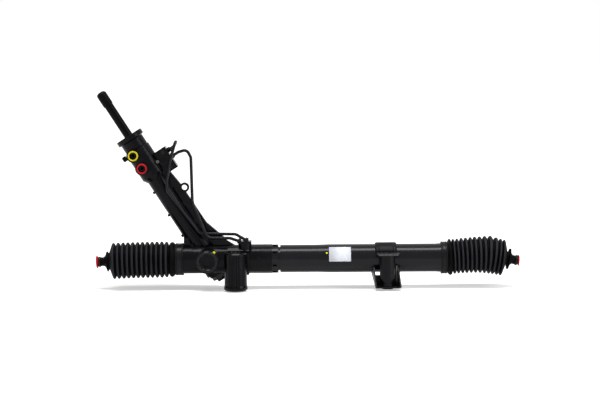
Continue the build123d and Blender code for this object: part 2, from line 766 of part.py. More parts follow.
COVER_BORE_R = 12.5
COVER_BORE_LOW = SPOOL_TOP + 0.6


def valve_cover():
    body = turned(
        [
            (VALVE_TOP - COVER_SPIGOT, COVER_SPIGOT_R),
            (VALVE_TOP, COVER_SPIGOT_R),
            (VALVE_TOP, COVER_R - 1),
            (VALVE_TOP + 1, COVER_R),
            (COVER_FLANGE_LOW - 2, COVER_R),
            (COVER_FLANGE_LOW, COVER_FLANGE_R),
            (COVER_TOP - 1, COVER_FLANGE_R),
            (COVER_TOP, COVER_FLANGE_R - 1),
        ],
        TOWER,
    )
    body -= rod(VALVE_TOP - COVER_SPIGOT - 1, COVER_BORE_LOW, VALVE_BORE_R, TOWER)
    body -= rod(COVER_BORE_LOW - 1, COVER_TOP, COVER_BORE_R, TOWER)
    dish_low = (INPUT_JOURNAL_TOP - 0.5, COVER_BORE_R)
    return body - turned([dish_low, (COVER_TOP - 1, COVER_RIM_R - 1), (COVER_TOP + 0.1, COVER_RIM_R)], TOWER)


def input_needle_bearing():
    end = INPUT_JOURNAL_TOP - SEAL_LENGTH - 0.5
    return tube(COVER_BORE_LOW, end, COVER_BORE_R - SEAT, INPUT_JOURNAL_R + RUN, TOWER)


def input_oil_seal():
    start = INPUT_JOURNAL_TOP - SEAL_LENGTH
    return tube(start, INPUT_JOURNAL_TOP - 0.2, COVER_BORE_R - SEAT, INPUT_JOURNAL_R + RUN, TOWER)


def shaft_cap():
    cap = turned(
        [(CAP_LOW, CAP_R), (CAP_TOP - 4, CAP_R), (CAP_TOP - 1.2, CAP_R - 2), (CAP_TOP, CAP_R - 5)],
        TOWER,
    )
    return cap - rod(CAP_LOW - 1, INPUT_TOP + 0.3, INPUT_R + SOFT, TOWER)


# ---- ports and fittings of the tower ----
def port_plug(name):
    x, z = PORTS[name]
    front = PORT_FACE + PLUG_FLANGE
    body = across(x, z, PORT_FACE, front, PLUG_FLANGE_R)
    edges = body.edges().filter_by(GeomType.CIRCLE).sort_by(Axis.Y)
    body = fillet(edges[0], 0.8)
    body += across(x, z, PORT_FACE - PORT_DEPTH + 1, PORT_FACE, PORT_BORE_R - SOFT)
    return body - across(x, z, PORT_FACE - PORT_DEPTH, front + 1, PLUG_BORE_R)


def bleed_cap():
    frame = Plane(origin=(0, BLEED_BEHIND, BLEED_STATION), x_dir=(0, 1, 0), z_dir=(-1, 0, 0))
    knob = turned(
        [
            (VALVE_R - 2, 2.2),
            (VALVE_R + 2.5, 2.2),
            (VALVE_R + 2.5, 4.4),
            (VALVE_R + 8, 4.6),
            (VALVE_R + 9.5, 3.6),
        ],
        frame,
    )
    body = TOWER.location * knob
    return body - rod(BLEED_STATION - 8, VALVE_TOP + 8, VALVE_R + SEAT, TOWER)


def block_ends():
    """Frames on the port block where the pipes leave it, each with Z along its pipe."""
    ends = []
    for y, z in ((-6.0, 177.0), (3.0, 189.0)):
        local = Plane(origin=(BLOCK_X[1], y, z), x_dir=(0, 1, 0), z_dir=(1, 0, 0))
        ends.append(Plane(TOWER.location * local.location))
    return ends


def port_block():
    body = block(BLOCK_X, BLOCK_Y, BLOCK_Z)
    body = TOWER.location * chamfer(body.edges().filter_by(Axis.X), 1.5)
    for end in block_ends():
        body -= rod(-14, 1, PIPE_BORE_R, end)
    for x, z in BLOCK_SCREWS:
        body -= across(x, z, -BLOCK_Y[0] - 14, -BLOCK_Y[0] + 1, 2.0)
    return body


def port_block_screws():
    screws = []
    for x, z in BLOCK_SCREWS:
        head = across(x, z, -BLOCK_Y[0], -BLOCK_Y[0] + 3.5, 3.4)
        head += across(x, z, -BLOCK_Y[0] - 12, -BLOCK_Y[0], 2.0 - SEAT)
        socket = hexagon_bar(3.0, -BLOCK_Y[0] + 1.5, -BLOCK_Y[0] + 4, Plane(origin=(x, 0, z), z_dir=(0, -1, 0)))
        screws.append(head - TOWER.location * socket)
    return Compound(screws)


def passage_screw():
    """Cap screw in the small boss on the valve housing."""
    x, z = SCREW_PAD
    head = across(x, z, SCREW_FACE, SCREW_FACE + 2.8, SCREW_HEAD_R)
    screw = head + across(x, z, SCREW_FACE - 7.5, SCREW_FACE, SCREW_R)
    socket = hexagon_bar(2.5, SCREW_FACE + 1.2, SCREW_FACE + 4, Plane(origin=(x, 0, z), z_dir=(0, -1, 0)))
    return screw - TOWER.location * socket


# ---- pipes ----
def above_rack(x, y, rise):
    return Vector(x, y, RACK_Z + rise)


def outer_route():
    start, out = block_ends()[0].origin, TOWER.x_dir
    return [
        start,
        start + out * 14,
        above_rack(-81.0, 43.0, 183.0),
        above_rack(-74.3, 42.0, 170.0),
        above_rack(-72.4, 38.0, 94.0),
        above_rack(-47.5, 25.5, 36.5),
        above_rack(-10.0, 24.0, 36.5),
        above_rack(UNION_X - 7, UNION_Y - 2, UNION_TOP - 1),
    ], [10, 8, 8, 30, 12, 14]


def inner_route():
    start, out = block_ends()[1].origin, TOWER.x_dir
    return [
        start,
        start + out * 12,
        above_rack(-99.0, 47.5, 196.0),
        above_rack(-99.6, 35.0, 196.5),
        above_rack(-108.3, 32.0, 166.0),
        above_rack(-114.2, 30.5, 134.0),
        above_rack(-113.3, 30.0, 115.0),
        above_rack(-60.0, 34.5, 43.0),
        above_rack(-0.5, 29.5, 42.5),
        above_rack(UNION_X + 4.5, UNION_Y + 2, UNION_TOP - 0.5),
    ], [8, 5.5, 5.5, 30, 30, 14, 12, 12]


def boss_ends():
    """Frames in the union boss where the pipes end, each with Z back along its pipe."""
    ends = []
    for route in (outer_route, inner_route):
        points, radii = route()
        ends.append(Plane(origin=points[-1], z_dir=points[-2] - points[-1]))
    return ends


def pipe(route):
    points, radii = route()
    path = FilletPolyline(*points, radius=radii)
    section = Plane(origin=points[0], z_dir=points[1] - points[0]) * Circle(PIPE_R)
    solid = sweep(section, path)
    hole = Plane(origin=points[0], z_dir=points[1] - points[0]) * Circle(PIPE_BORE_R)
    return solid - sweep(hole, path)


def pipe_union_nuts():
    nuts = []
    for end in (*block_ends(), *boss_ends()):
        nut = hexagon_bar(UNION_NUT_FLATS, SEAT, UNION_NUT_LENGTH, end)
        nuts.append(nut - rod(-1, UNION_NUT_LENGTH + 1, PIPE_R + SEAT, end))
    return Compound(nuts)


# ---- cylinder ----
def seal_pocket_r():
    return LINER_BORE_R + 0.7


def inner_rack_bush():
    end = RACK_SEAL_LEFT + BUSH_WIDTH
    return tube(RACK_SEAL_LEFT, end, seal_pocket_r() - SEAT, RACK_R + RUN, RACK)


def inner_rack_seal():
    start = RACK_SEAL_LEFT + BUSH_WIDTH
    return tube(start, LINER_LEFT, seal_pocket_r() - SEAT, RACK_R + RUN, RACK)


def snap_groove():
    start = END_BUSH_LEFT + END_BUSH_WIDTH
    return tube(start, start + 1.6, LINER_BORE_R + 0.9, LINER_BORE_R - 1.2, RACK)


def cylinder_liner():
    return tube(LINER_LEFT, LINER_RIGHT, LINER_R, LINER_BORE_R, RACK) - snap_groove()


def end_bush():
    body = tube(END_BUSH_LEFT, END_BUSH_LEFT + END_BUSH_WIDTH, LINER_BORE_R - SEAT, RACK_R + RUN, RACK)
    middle = END_BUSH_LEFT + END_BUSH_WIDTH / 2
    return body - tube(middle - 1.2, middle + 1.2, LINER_BORE_R + 1, LINER_BORE_R - 2, RACK)


def end_bush_o_ring():
    middle = END_BUSH_LEFT + END_BUSH_WIDTH / 2
    return tube(middle - 1.1, middle + 1.1, LINER_BORE_R - SEAT, LINER_BORE_R - 2 + SEAT, RACK)


def outer_rack_seal():
    return tube(END_BUSH_LEFT - END_SEAL_WIDTH, END_BUSH_LEFT, LINER_BORE_R - SEAT, RACK_R + RUN, RACK)


def end_snap_ring():
    start = END_BUSH_LEFT + END_BUSH_WIDTH
    return tube(start, start + 1.5, LINER_BORE_R + 0.8, LINER_BORE_R - 1.2, RACK)


def cylinder_ring():
    """Castellated ring that locks the liner in the casting."""
    end = BARREL_RIGHT + RING_WIDTH
    ring = tube(BARREL_RIGHT, end, RING_R, LINER_R + SEAT, RACK)
    slot = block((LINER_R, RING_R + 1), (-RING_SLOT / 2, RING_SLOT / 2), (BARREL_RIGHT + 1.2, end - 2.4))
    return ring - ring_of(RING_SLOTS, Rot(0, 0, -RING_TURN) * slot, RACK)


def jacket_profile(thinner):
    swell = JACKET_SWELL_R - thinner
    return [
        (JACKET_LEFT, JACKET_R - thinner),
        (SWELL_START, JACKET_R - thinner),
        (SWELL_END, swell),
        (FLARE_START, swell),
        (FLARE_END, FLARE_R - thinner),
        (JACKET_RIGHT, FLARE_R - thinner),
    ]


def cylinder_jacket():
    body = turned(jacket_profile(0), RACK)
    inside = turned(jacket_profile(JACKET_WALL), RACK)
    collar = tube(JACKET_LEFT, JACKET_LEFT + 4, JACKET_R, LINER_R + SEAT, RACK)
    return body - inside + collar


def liner_end_ring():
    start = LINER_RIGHT - 8
    return tube(start, LINER_RIGHT, JACKET_SWELL_R - JACKET_WALL - SEAT, LINER_R + SEAT, RACK)


# ---- yoke ----
def yoke_back():
    return YOKE_SEAT - SPRING_DISCS * (DISC_SHEET + DISC_DISH)


def yoke():
    body = rod(3, yoke_back(), YOKE_R, YOKE)
    return body - rod(CROSS_X - 20, CROSS_X + 20, RACK_R + YOKE_LINER + RUN, RACK)


def yoke_liner():
    lining = tube(CROSS_X - 9, CROSS_X + 9, RACK_R + YOKE_LINER, RACK_R + RUN, RACK)
    return lining & rod(5, YOKE_R + 6, YOKE_R - 2, YOKE)


def yoke_springs():
    height = DISC_SHEET + DISC_DISH
    discs = []
    for place in range(SPRING_DISCS):
        dish = [DISC_DISH, 0] if place % 2 else [0, DISC_DISH]
        inner, outer = (yoke_back() + place * height + rise for rise in dish)
        outline = [
            (DISC_BORE_R, inner + SEAT),
            (DISC_R, outer + SEAT),
            (DISC_R, outer + DISC_SHEET - SEAT),
            (DISC_BORE_R, inner + DISC_SHEET - SEAT),
        ]
        disc = revolve(make_face(Plane.XZ * Polyline(*outline, close=True)), Axis.Z)
        discs.append(YOKE.location * disc)
    return Compound(discs)


def yoke_plug():
    body = turned(
        [
            (YOKE_SEAT, YOKE_PLUG_R),
            (YOKE_FACE, YOKE_PLUG_R),
            (YOKE_FACE, LOCK_RING_BORE_R),
            (YOKE_FACE + PLUG_HUB, LOCK_RING_BORE_R),
        ],
        YOKE,
    )
    body -= hexagon_bar(PLUG_SOCKET, YOKE_FACE - 3.5, YOKE_FACE + LOCK_RING_WIDTH, YOKE)
    return body - tube(YOKE_SEAT + 3, YOKE_SEAT + 5, YOKE_PLUG_R + 1, YOKE_PLUG_R - 1.8, YOKE)


def yoke_o_ring():
    return tube(YOKE_SEAT + 3.1, YOKE_SEAT + 4.9, YOKE_PLUG_R - SEAT, YOKE_PLUG_R - 1.8 + SEAT, YOKE)


def yoke_lock_ring():
    ring = tube(YOKE_FACE, YOKE_FACE + LOCK_RING_WIDTH, LOCK_RING_R, LOCK_RING_BORE_R + SEAT, YOKE)
    top = YOKE_FACE + LOCK_RING_WIDTH
    ring = chamfer(ring.edges().filter_by(GeomType.CIRCLE).sort_by(Axis.Y)[:2], 0.8)
    slot = block((LOCK_RING_BORE_R - 1, LOCK_RING_R + 1), (-2.2, 2.2), (top - 2.4, top + 1))
    return ring - ring_of(LOCK_RING_SLOTS, Rot(0, 0, 15) * slot, YOKE)


# ---- boots ----
def fold_pitch(folds):
    return abs(folds[1] - folds[0]) / (FOLDS - 1)


def boot_frame(folds, arch, x):
    """Frame on a boot's hanging axis at x: upright at the housing end and square to the axis at the far end."""
    towards = math.copysign(1, folds[1] - folds[0])
    length = abs(folds[1] - folds[0])
    along = max(0, (x - folds[0]) * towards / length)
    start, linear, square = arch
    rise = start + linear * along + square * along**2
    turn = along * math.atan((linear + 2 * square * along) / length)
    return Plane(
        origin=(x, RACK_Y, RACK_Z + rise),
        x_dir=(0, towards, 0),
        z_dir=(towards * math.cos(turn), 0, math.sin(turn)),
    )


def straight_frame(folds, x):
    towards = math.copysign(1, folds[1] - folds[0])
    return Plane(origin=(x, RACK_Y, RACK_Z), x_dir=(0, towards, 0), z_dir=(towards, 0, 0))


def cuff_end(folds):
    towards = math.copysign(1, folds[1] - folds[0])
    return folds[0] - towards * (fold_pitch(folds) / 2 + 1.5)


def bellows(folds, arch, tops, cuff_radius, thinner, short):
    """Ruled cones between the folds' tops and valleys, out from the end of the cuff."""
    half = fold_pitch(folds) / 2
    towards = math.copysign(1, folds[1] - folds[0])
    sections = [straight_frame(folds, cuff_end(folds)) * Circle(cuff_radius)]
    last = 2 * FOLDS - 1
    for place in range(-1, last + 1):
        top = tops[0] + (tops[1] - tops[0]) * max(place, 0) / last
        x = folds[0] + towards * (place * half - (short if place == last else 0))
        depth = FOLD_DEPTH if place % 2 else 0
        sections.append(boot_frame(folds, arch, x) * Circle(top - depth - thinner))
    return loft(sections, ruled=True)


def boot_end(folds, arch):
    """Frame of the end beyond the last fold."""
    towards = math.copysign(1, folds[1] - folds[0])
    return boot_frame(folds, arch, folds[1] + towards * fold_pitch(folds) / 2)


def boot_ends():
    return {
        "left": (boot_end(LEFT_FOLDS, LEFT_ARCH), 21.0),
        "right": (boot_end(RIGHT_FOLDS, RIGHT_ARCH), 19.4),
    }


def boot(folds, arch, tops, cuff_start, cuff_bore, neck_end):
    cuff = straight_frame(folds, cuff_start)
    length = abs(cuff_end(folds) - cuff_start)
    wall = BOOT_WALL / math.cos(math.atan2(FOLD_DEPTH, fold_pitch(folds) / 2))
    body = bellows(folds, arch, tops, CUFF_R, 0, 0) + rod(0, length, CUFF_R, cuff)
    for start in (0, length - CUFF_RIB):
        body += rod(start, start + CUFF_RIB, CUFF_RIB_R, cuff)
    end = boot_end(folds, arch)
    outside = [(-2, 21), (1.2, 19.5), (2.7, 13), (4.2, 13), (5.2, 15.8), (7.4, 15.8), (9, 10), (11, NECK_R)]
    inside = [(-4, 18.6), (-0.2, 17.8), (1.2, 11.2), (7, 11.2), (8.6, NECK_BORE_R)]
    body += turned(outside + [(neck_end, NECK_R)], end)
    body -= bellows(folds, arch, tops, cuff_bore, wall, BOOT_WALL)
    body -= rod(-1, length + 0.6, cuff_bore, cuff)
    return body - turned(inside + [(neck_end + 1, NECK_BORE_R)], end)


LEFT_CUFF_START = BARREL_LEFT + SPIGOT_LENGTH
RIGHT_CUFF_START = FLARE_END + 0.3


def boot_left():
    neck_end = boot_ends()["left"][1]
    return boot(LEFT_FOLDS, LEFT_ARCH, LEFT_TOPS, LEFT_CUFF_START, SPIGOT_R + SOFT, neck_end)


def boot_right():
    neck_end = boot_ends()["right"][1]
    return boot(RIGHT_FOLDS, RIGHT_ARCH, RIGHT_TOPS, RIGHT_CUFF_START, FLARE_R + SOFT, neck_end)


def boot_clamps():
    """Bands round both cuffs, between their ribs."""
    bands = []
    for folds, start in ((LEFT_FOLDS, LEFT_CUFF_START), (RIGHT_FOLDS, RIGHT_CUFF_START)):
        length = abs(cuff_end(folds) - start)
        low, high = CUFF_RIB + 0.4, length - CUFF_RIB - 0.4
        bands.append(tube(low, high, CLAMP_R, CUFF_R + SOFT, straight_frame(folds, start)))
    return Compound(bands)


def boot_clips():
    clips = []
    for end, neck_end in boot_ends().values():
        clips.append(tube(neck_end - 5, neck_end - 2.5, NECK_R + 1.1, NECK_R + SOFT, end))
    return Compound(clips)


def boot_plugs():
    plugs = []
    for end, neck_end in boot_ends().values():
        plug = rod(neck_end - 9, neck_end, NECK_BORE_R - SOFT, end)
        rim = neck_end + 2
        plug += turned([(neck_end, END_PLUG_R), (rim, END_PLUG_R), (rim + 1.6, END_PLUG_R - 1.6)], end)
        plugs.append(plug)
    return Compound(plugs)


# ---- left mounting bush ----
def left_bush_rubber():
    half = SLEEVE_LENGTH / 2 - 1
    return tube(-half, half, SLEEVE_BORE_R - SOFT, BUSH_TUBE_R + SOFT)


def left_bush_tube():
    half = SLEEVE_LENGTH / 2 + BUSH_OVERHANG
    return tube(-half, half, BUSH_TUBE_R, BOLT_R)


# ---- right mounting bracket, welded to the jacket ----
def right_mount_frame():
    return Pos(MOUNT_X, 0, RACK_Z)


def right_mount_sleeve():
    body = turned(
        [
            (MOUNT_LOW, MOUNT_SLEEVE_END_R - 1),
            (MOUNT_LOW + 1, MOUNT_SLEEVE_END_R),
            (MOUNT_TAPER[0], MOUNT_SLEEVE_END_R),
            (MOUNT_TAPER[1], MOUNT_SLEEVE_R),
            (LIP_LOW, MOUNT_SLEEVE_R),
        ]
    )
    body -= rod(MOUNT_LOW - 1, LIP_LOW + 1, BOLT_R)
    return right_mount_frame() * body


def right_lip_plate():
    """Plate on the sleeve's top that reaches forward from the jacket."""
    front = -MOUNT_SLEEVE_R - LIP_REACH
    rear = RACK_Y - JACKET_SWELL_R + 8
    body = block(LIP_X, (front, rear), (RACK_Z + LIP_LOW, RACK_Z + LIP_LOW + LIP_THICKNESS))
    body = fillet(body.edges().filter_by(Axis.Z).sort_by(Axis.Y)[:2], LIP_CORNER)
    body -= right_mount_frame() * rod(LIP_LOW - 1, LIP_LOW + LIP_THICKNESS + 1, BOLT_R)
    return body - rod(LIP_X[0] - 1, LIP_X[1] + 1, JACKET_SWELL_R + SEAT, RACK)


def right_saddle():
    """Strap over the jacket with rounded shoulders and a pressed pad."""
    inner = JACKET_SWELL_R + SEAT
    outer = JACKET_SWELL_R + SADDLE_THICKNESS
    low, high = SADDLE_X
    pad_low, pad_high = low + PAD_INSET, high - PAD_INSET
    shoulder = [(low, inner + 0.6), (low + 0.8, outer - 0.9), (low + 2.6, outer), (high - 2.6, outer)]
    strap = turned(shoulder + [(high - 0.8, outer - 0.9), (high, inner + 0.6)], RACK)
    pad_top = outer + PAD_RISE
    pad = turned([(pad_low, outer), (pad_low + 1.5, pad_top), (pad_high - 1.5, pad_top), (pad_high, outer)], RACK)
    keep_above = RACK_Z + LIP_LOW + LIP_THICKNESS
    pad &= block((pad_low, pad_high), (RACK_Y - 30, RACK_Y - 7), (keep_above + 2, RACK_Z + 40))
    strap = strap + pad - rod(low - 1, high + 1, inner, RACK)
    return strap & block((low, high), (RACK_Y - 40, RACK_Y + 40), (keep_above, RACK_Z + 40))


def bracket_side(foot, front_lean, rear_lean):
    """Side sheet from the floor up into the line of the jacket, twisted where the two leans differ."""
    floor, top = RACK_Z + BRACKET_FLOOR, RACK_Z + BRACKET_TOP
    front, rear = -MOUNT_SLEEVE_R - 1, BRACKET_BACK
    low = Polyline((foot, front), (foot + SHEET, front), (foot + SHEET, rear), (foot, rear), close=True)
    front_x, rear_x = foot - front_lean, foot - rear_lean
    front, rear = RACK_Y - 19, RACK_Y - 4
    high = Polyline((front_x, front), (front_x + SHEET, front), (rear_x + SHEET, rear), (rear_x, rear), close=True)
    return loft([Pos(0, 0, floor) * make_face(low), Pos(0, 0, top) * make_face(high)], ruled=True)


def bracket_back():
    """Rear wall: open as a small window on the left, closed up to the jacket on the right."""
    low, high = BRACKET_X
    outline = [
        (low + 1, BRACKET_FLOOR),
        (high - 1, BRACKET_FLOOR),
        (high - RIGHT_LEAN[0] - 1, BRACKET_TOP),
        (MOUNT_X - 6, BRACKET_TOP),
        (MOUNT_X - 6, WINDOW_TOP),
        (low - 3, WINDOW_TOP),
    ]
    upright = Plane(origin=(0, BRACKET_BACK, RACK_Z), x_dir=(1, 0, 0), z_dir=(0, -1, 0))
    return plate(outline, 0, SHEET, upright)


def right_bracket():
    low, high = BRACKET_X
    floor = RACK_Z + BRACKET_FLOOR
    body = block((low, high), (-MOUNT_SLEEVE_R - 1, BRACKET_BACK), (floor, floor + SHEET))
    body += bracket_side(low, *LEFT_LEAN)
    body += bracket_side(high - SHEET, *RIGHT_LEAN)
    body += bracket_back()
    body += block((high - 8.3, high - 6.3), (12, BRACKET_BACK), (floor, RACK_Z + BRACKET_TOP))
    corner = block((high - 4, high + 1), (-40, 40), (floor - 1, floor + 4))
    corner -= Pos(high - 4, 0, floor + 4) * Rot(90, 0, 0) * Cylinder(4, 90)
    body -= corner
    body -= rod(low - 20, high + 20, JACKET_SWELL_R + SEAT, RACK)
    return body - Pos(MOUNT_X, 0, floor) * Cylinder(MOUNT_SLEEVE_END_R + SEAT, 20)


# ---- label ----
def label():
    skin = tube(*LABEL_X, JACKET_SWELL_R + SEAT + LABEL_THICKNESS, JACKET_SWELL_R + SEAT, RACK)
    low, high = LABEL_Z
    return skin & block(LABEL_X, (0, RACK_Y - 5), (RACK_Z + low, RACK_Z + high))


PIECES = {
    "rack_housing": rack_housing,
    "valve_cover": valve_cover,
    "lower_bearing_cap": lower_bearing_cap,
    "pinion_bearing_outer_ring": bearing_outer_ring,
    "pinion_bearing_inner_ring": bearing_inner_ring,
    "pinion_bearing_balls": bearing_balls,
    "pinion_nut": pinion_nut,
    "pinion": pinion,
    "pinion_needle_bearing": pinion_needle_bearing,
    "pinion_oil_seal": pinion_oil_seal,
    "valve_sleeve": valve_sleeve,
    "valve_drive_pin": drive_pin,
    "valve_seal_rings": valve_seal_rings,
    "input_shaft": input_shaft,
    "torsion_bar": torsion_bar,
    "torsion_bar_pin": torsion_bar_pin,
    "input_needle_bearing": input_needle_bearing,
    "input_oil_seal": input_oil_seal,
    "shaft_cap": shaft_cap,
    "rack_bar": rack_bar,
    "piston": piston,
    "piston_ring": piston_ring,
    "piston_clips": piston_clips,
    "inner_rack_bush": inner_rack_bush,
    "inner_rack_seal": inner_rack_seal,
    "cylinder_liner": cylinder_liner,
    "cylinder_ring": cylinder_ring,
    "cylinder_jacket": cylinder_jacket,
    "liner_end_ring": liner_end_ring,
    "end_bush": end_bush,
    "end_bush_o_ring": end_bush_o_ring,
    "outer_rack_seal": outer_rack_seal,
    "end_snap_ring": end_snap_ring,
    "yoke": yoke,
    "yoke_liner": yoke_liner,
    "yoke_springs": yoke_springs,
    "yoke_plug": yoke_plug,
    "yoke_o_ring": yoke_o_ring,
    "yoke_lock_ring": yoke_lock_ring,
    "port_block": port_block,
    "port_block_screws": port_block_screws,
    "passage_screw": passage_screw,
    "outer_pipe": lambda: pipe(outer_route),
    "inner_pipe": lambda: pipe(inner_route),
    "pipe_union_nuts": pipe_union_nuts,
    "yellow_port_plug": lambda: port_plug("yellow"),
    "red_port_plug": lambda: port_plug("red"),
    "bleed_cap": bleed_cap,
    "boot_left": boot_left,
    "boot_right": boot_right,
    "boot_clamps": boot_clamps,
    "boot_clips": boot_clips,
    "boot_plugs": boot_plugs,
    "left_bush_rubber": left_bush_rubber,
    "left_bush_tube": left_bush_tube,
    "right_mount_sleeve": right_mount_sleeve,
    "right_lip_plate": right_lip_plate,
    "right_saddle": right_saddle,
    "right_bracket": right_bracket,
    "label": label,
}

os.makedirs("parts", exist_ok=True)
for name, make in PIECES.items():
    export_step(make(), f"parts/{name}.step")
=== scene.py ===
# %% [markdown]
# # Dressing a power steering gear
# The gear is a long tube with a cast housing at one end. The rack slides inside it, and a pinion on the
# slanted tower moves it. The solid pieces come from the CAD model and already have their shape and place.
# Everything here is in metres, in the same frame as the CAD: X runs along the rack, Y points behind the
# gear and Z is up. Blender adds finishes, the rubber boots, small trim, light and a camera.

import json
import math

import bmesh
import bpy
from mathutils import Matrix, Vector


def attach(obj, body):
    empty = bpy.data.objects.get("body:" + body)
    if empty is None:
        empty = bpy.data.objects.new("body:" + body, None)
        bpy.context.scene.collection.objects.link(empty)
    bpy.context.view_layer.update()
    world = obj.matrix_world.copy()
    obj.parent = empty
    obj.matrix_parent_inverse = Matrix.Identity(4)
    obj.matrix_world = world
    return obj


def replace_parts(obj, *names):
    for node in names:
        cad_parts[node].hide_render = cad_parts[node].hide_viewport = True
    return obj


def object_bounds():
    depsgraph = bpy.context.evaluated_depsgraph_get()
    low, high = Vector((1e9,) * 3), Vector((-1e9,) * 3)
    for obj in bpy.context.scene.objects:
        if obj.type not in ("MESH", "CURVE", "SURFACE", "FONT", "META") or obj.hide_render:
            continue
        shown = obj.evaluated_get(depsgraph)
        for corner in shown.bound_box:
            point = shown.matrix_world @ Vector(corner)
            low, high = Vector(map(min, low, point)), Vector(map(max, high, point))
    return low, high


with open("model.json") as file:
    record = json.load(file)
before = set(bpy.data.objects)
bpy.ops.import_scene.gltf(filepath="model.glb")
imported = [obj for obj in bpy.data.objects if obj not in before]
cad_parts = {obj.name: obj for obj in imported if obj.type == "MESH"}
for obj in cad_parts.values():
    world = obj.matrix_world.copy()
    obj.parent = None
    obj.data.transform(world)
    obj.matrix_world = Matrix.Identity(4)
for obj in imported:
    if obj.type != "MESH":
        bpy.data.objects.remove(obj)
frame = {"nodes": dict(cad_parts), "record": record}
cad_low, cad_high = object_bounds()
solids = frame["nodes"]
MM = 0.001
print("CAD pieces", len(solids), "box", [round(v, 4) for v in (*cad_low, *cad_high)])

# %% [markdown]
# ## Lines to build from
# Three axes place nearly everything: the rack's, the pinion's, which leans over the rack, and the mounting
# bores', which stand upright. A frame in Blender is a matrix, so each axis gets one whose Z points along
# it. A shape is then made round the world's Z and carried to its place by one matrix.

# %% Axes of the gear
RACK_Y = 38 * MM
RACK_Z = 16.8 * MM
LEAN = math.radians(57.4)


def frame_from(origin, x_axis, z_axis):
    """A matrix with its X and Z along two square directions and its origin at a point."""
    z_dir = Vector(z_axis).normalized()
    x_dir = Vector(x_axis).normalized()
    y_dir = z_dir.cross(x_dir)
    matrix = Matrix((x_dir, y_dir, z_dir)).transposed().to_4x4()
    matrix.translation = Vector(origin)
    return matrix


ALONG_RACK = frame_from((0, RACK_Y, RACK_Z), (0, -1, 0), (1, 0, 0))
TOWER = frame_from(
    (-46.5 * MM, 52 * MM, RACK_Z),
    (math.sin(LEAN), 0, math.cos(LEAN)),
    (-math.cos(LEAN), 0, math.sin(LEAN)),
)
YOKE = frame_from((-46.5 * MM, RACK_Y, RACK_Z), (1, 0, 0), (0, -1, 0))
print("tower leans", round(math.degrees(LEAN), 1), "degrees from the rack")

# %% [markdown]
# ## Finishes as small node trees
# A real finish is never one flat colour: paint has orange peel and dust, a casting has sand grain and
# rubber has a bloom. Image textures would need files, so noise built from nodes is used. It reads Object
# coordinates, which sit in the piece and stay put when it moves. Numbers that are the same all over are
# typed on the shader itself, where other programs can read them.

# %% Helpers for finishes
def start_finish(name, roughness, metallic=0.0, specular=0.5):
    """A new material and its shader with the plain numbers set."""
    material = bpy.data.materials.new(name)
    material.use_nodes = True
    shader = material.node_tree.nodes["Principled BSDF"]
    shader.inputs["Roughness"].default_value = roughness
    shader.inputs["Metallic"].default_value = metallic
    shader.inputs["Specular IOR Level"].default_value = specular
    return material, shader


def speckle(material, scale, detail):
    """Noise in the piece's own coordinates, in patterns per metre."""
    tree = material.node_tree
    coordinates = tree.nodes.new("ShaderNodeTexCoord")
    noise = tree.nodes.new("ShaderNodeTexNoise")
    noise.inputs["Scale"].default_value = scale
    noise.inputs["Detail"].default_value = detail
    tree.links.new(coordinates.outputs["Object"], noise.inputs["Vector"])
    return noise.outputs["Fac"]


def combine(tree, operation, first, second):
    """One sum of two values, such as MULTIPLY or MAXIMUM."""
    node = tree.nodes.new("ShaderNodeMath")
    node.operation = operation
    tree.links.new(first, node.inputs[0])
    tree.links.new(second, node.inputs[1])
    return node.outputs[0]


def carried(tree, value, source, target=(0.0, 1.0)):
    """Carries a value from one range of numbers to another."""
    node = tree.nodes.new("ShaderNodeMapRange")
    node.inputs["From Min"].default_value, node.inputs["From Max"].default_value = source
    node.inputs["To Min"].default_value, node.inputs["To Max"].default_value = target
    tree.links.new(value, node.inputs["Value"])
    return node.outputs["Result"]


def shade_between(material, value, low, high, start=0.35, end=0.65):
    """Turns a noise value into a colour between two colours."""
    ramp = material.node_tree.nodes.new("ShaderNodeValToRGB")
    ramp.color_ramp.elements[0].position = start
    ramp.color_ramp.elements[0].color = (*low, 1)
    ramp.color_ramp.elements[1].position = end
    ramp.color_ramp.elements[1].color = (*high, 1)
    material.node_tree.links.new(value, ramp.inputs["Fac"])
    return ramp.outputs["Color"]


def spread(material, value, low, high):
    """Turns a noise value, which is mostly between 0.3 and 0.7, into a number between two numbers."""
    return carried(material.node_tree, value, (0.3, 0.7), (low, high))


def relief(material, shader, height, depth, below=None):
    """Bump of a given depth in metres, on top of another bump if one is given."""
    node = material.node_tree.nodes.new("ShaderNodeBump")
    node.inputs["Strength"].default_value = 1.0
    node.inputs["Distance"].default_value = depth
    material.node_tree.links.new(height, node.inputs["Height"])
    if below is not None:
        material.node_tree.links.new(below, node.inputs["Normal"])
    material.node_tree.links.new(node.outputs["Normal"], shader.inputs["Normal"])
    return node.outputs["Normal"]


def join(material, value, shader, socket):
    material.node_tree.links.new(value, shader.inputs[socket])


# %% [markdown]
# ## Satin black paint
# The housing is a sand casting sprayed satin black, and the tube is drawn steel with the same paint. A paint's
# gloss comes from two numbers, how much light it mirrors and how rough it is. The first stays low here, or the
# pale room would turn the black grey. The casting gets a fine sand grain over wider swells, and the tube only
# the slight orange peel of the spray gun. The pressed saddle is rougher, the sleeves lie between the two, and
# the shaft is black and oily. The blue in the colour is what carbon black looks like in thin paint.

# %% Painted casting and painted tube
def painted(name, dark, light, roughness, specular, grain, grain_depth, swell_depth):
    material, shader = start_finish(name, roughness[0], specular=specular)
    cloud = speckle(material, 38, 3)
    join(material, shade_between(material, cloud, dark, light), shader, "Base Color")
    join(material, spread(material, cloud, *roughness), shader, "Roughness")
    under = relief(material, shader, speckle(material, 90, 2), swell_depth)
    relief(material, shader, speckle(material, grain, 5), grain_depth, under)
    return material


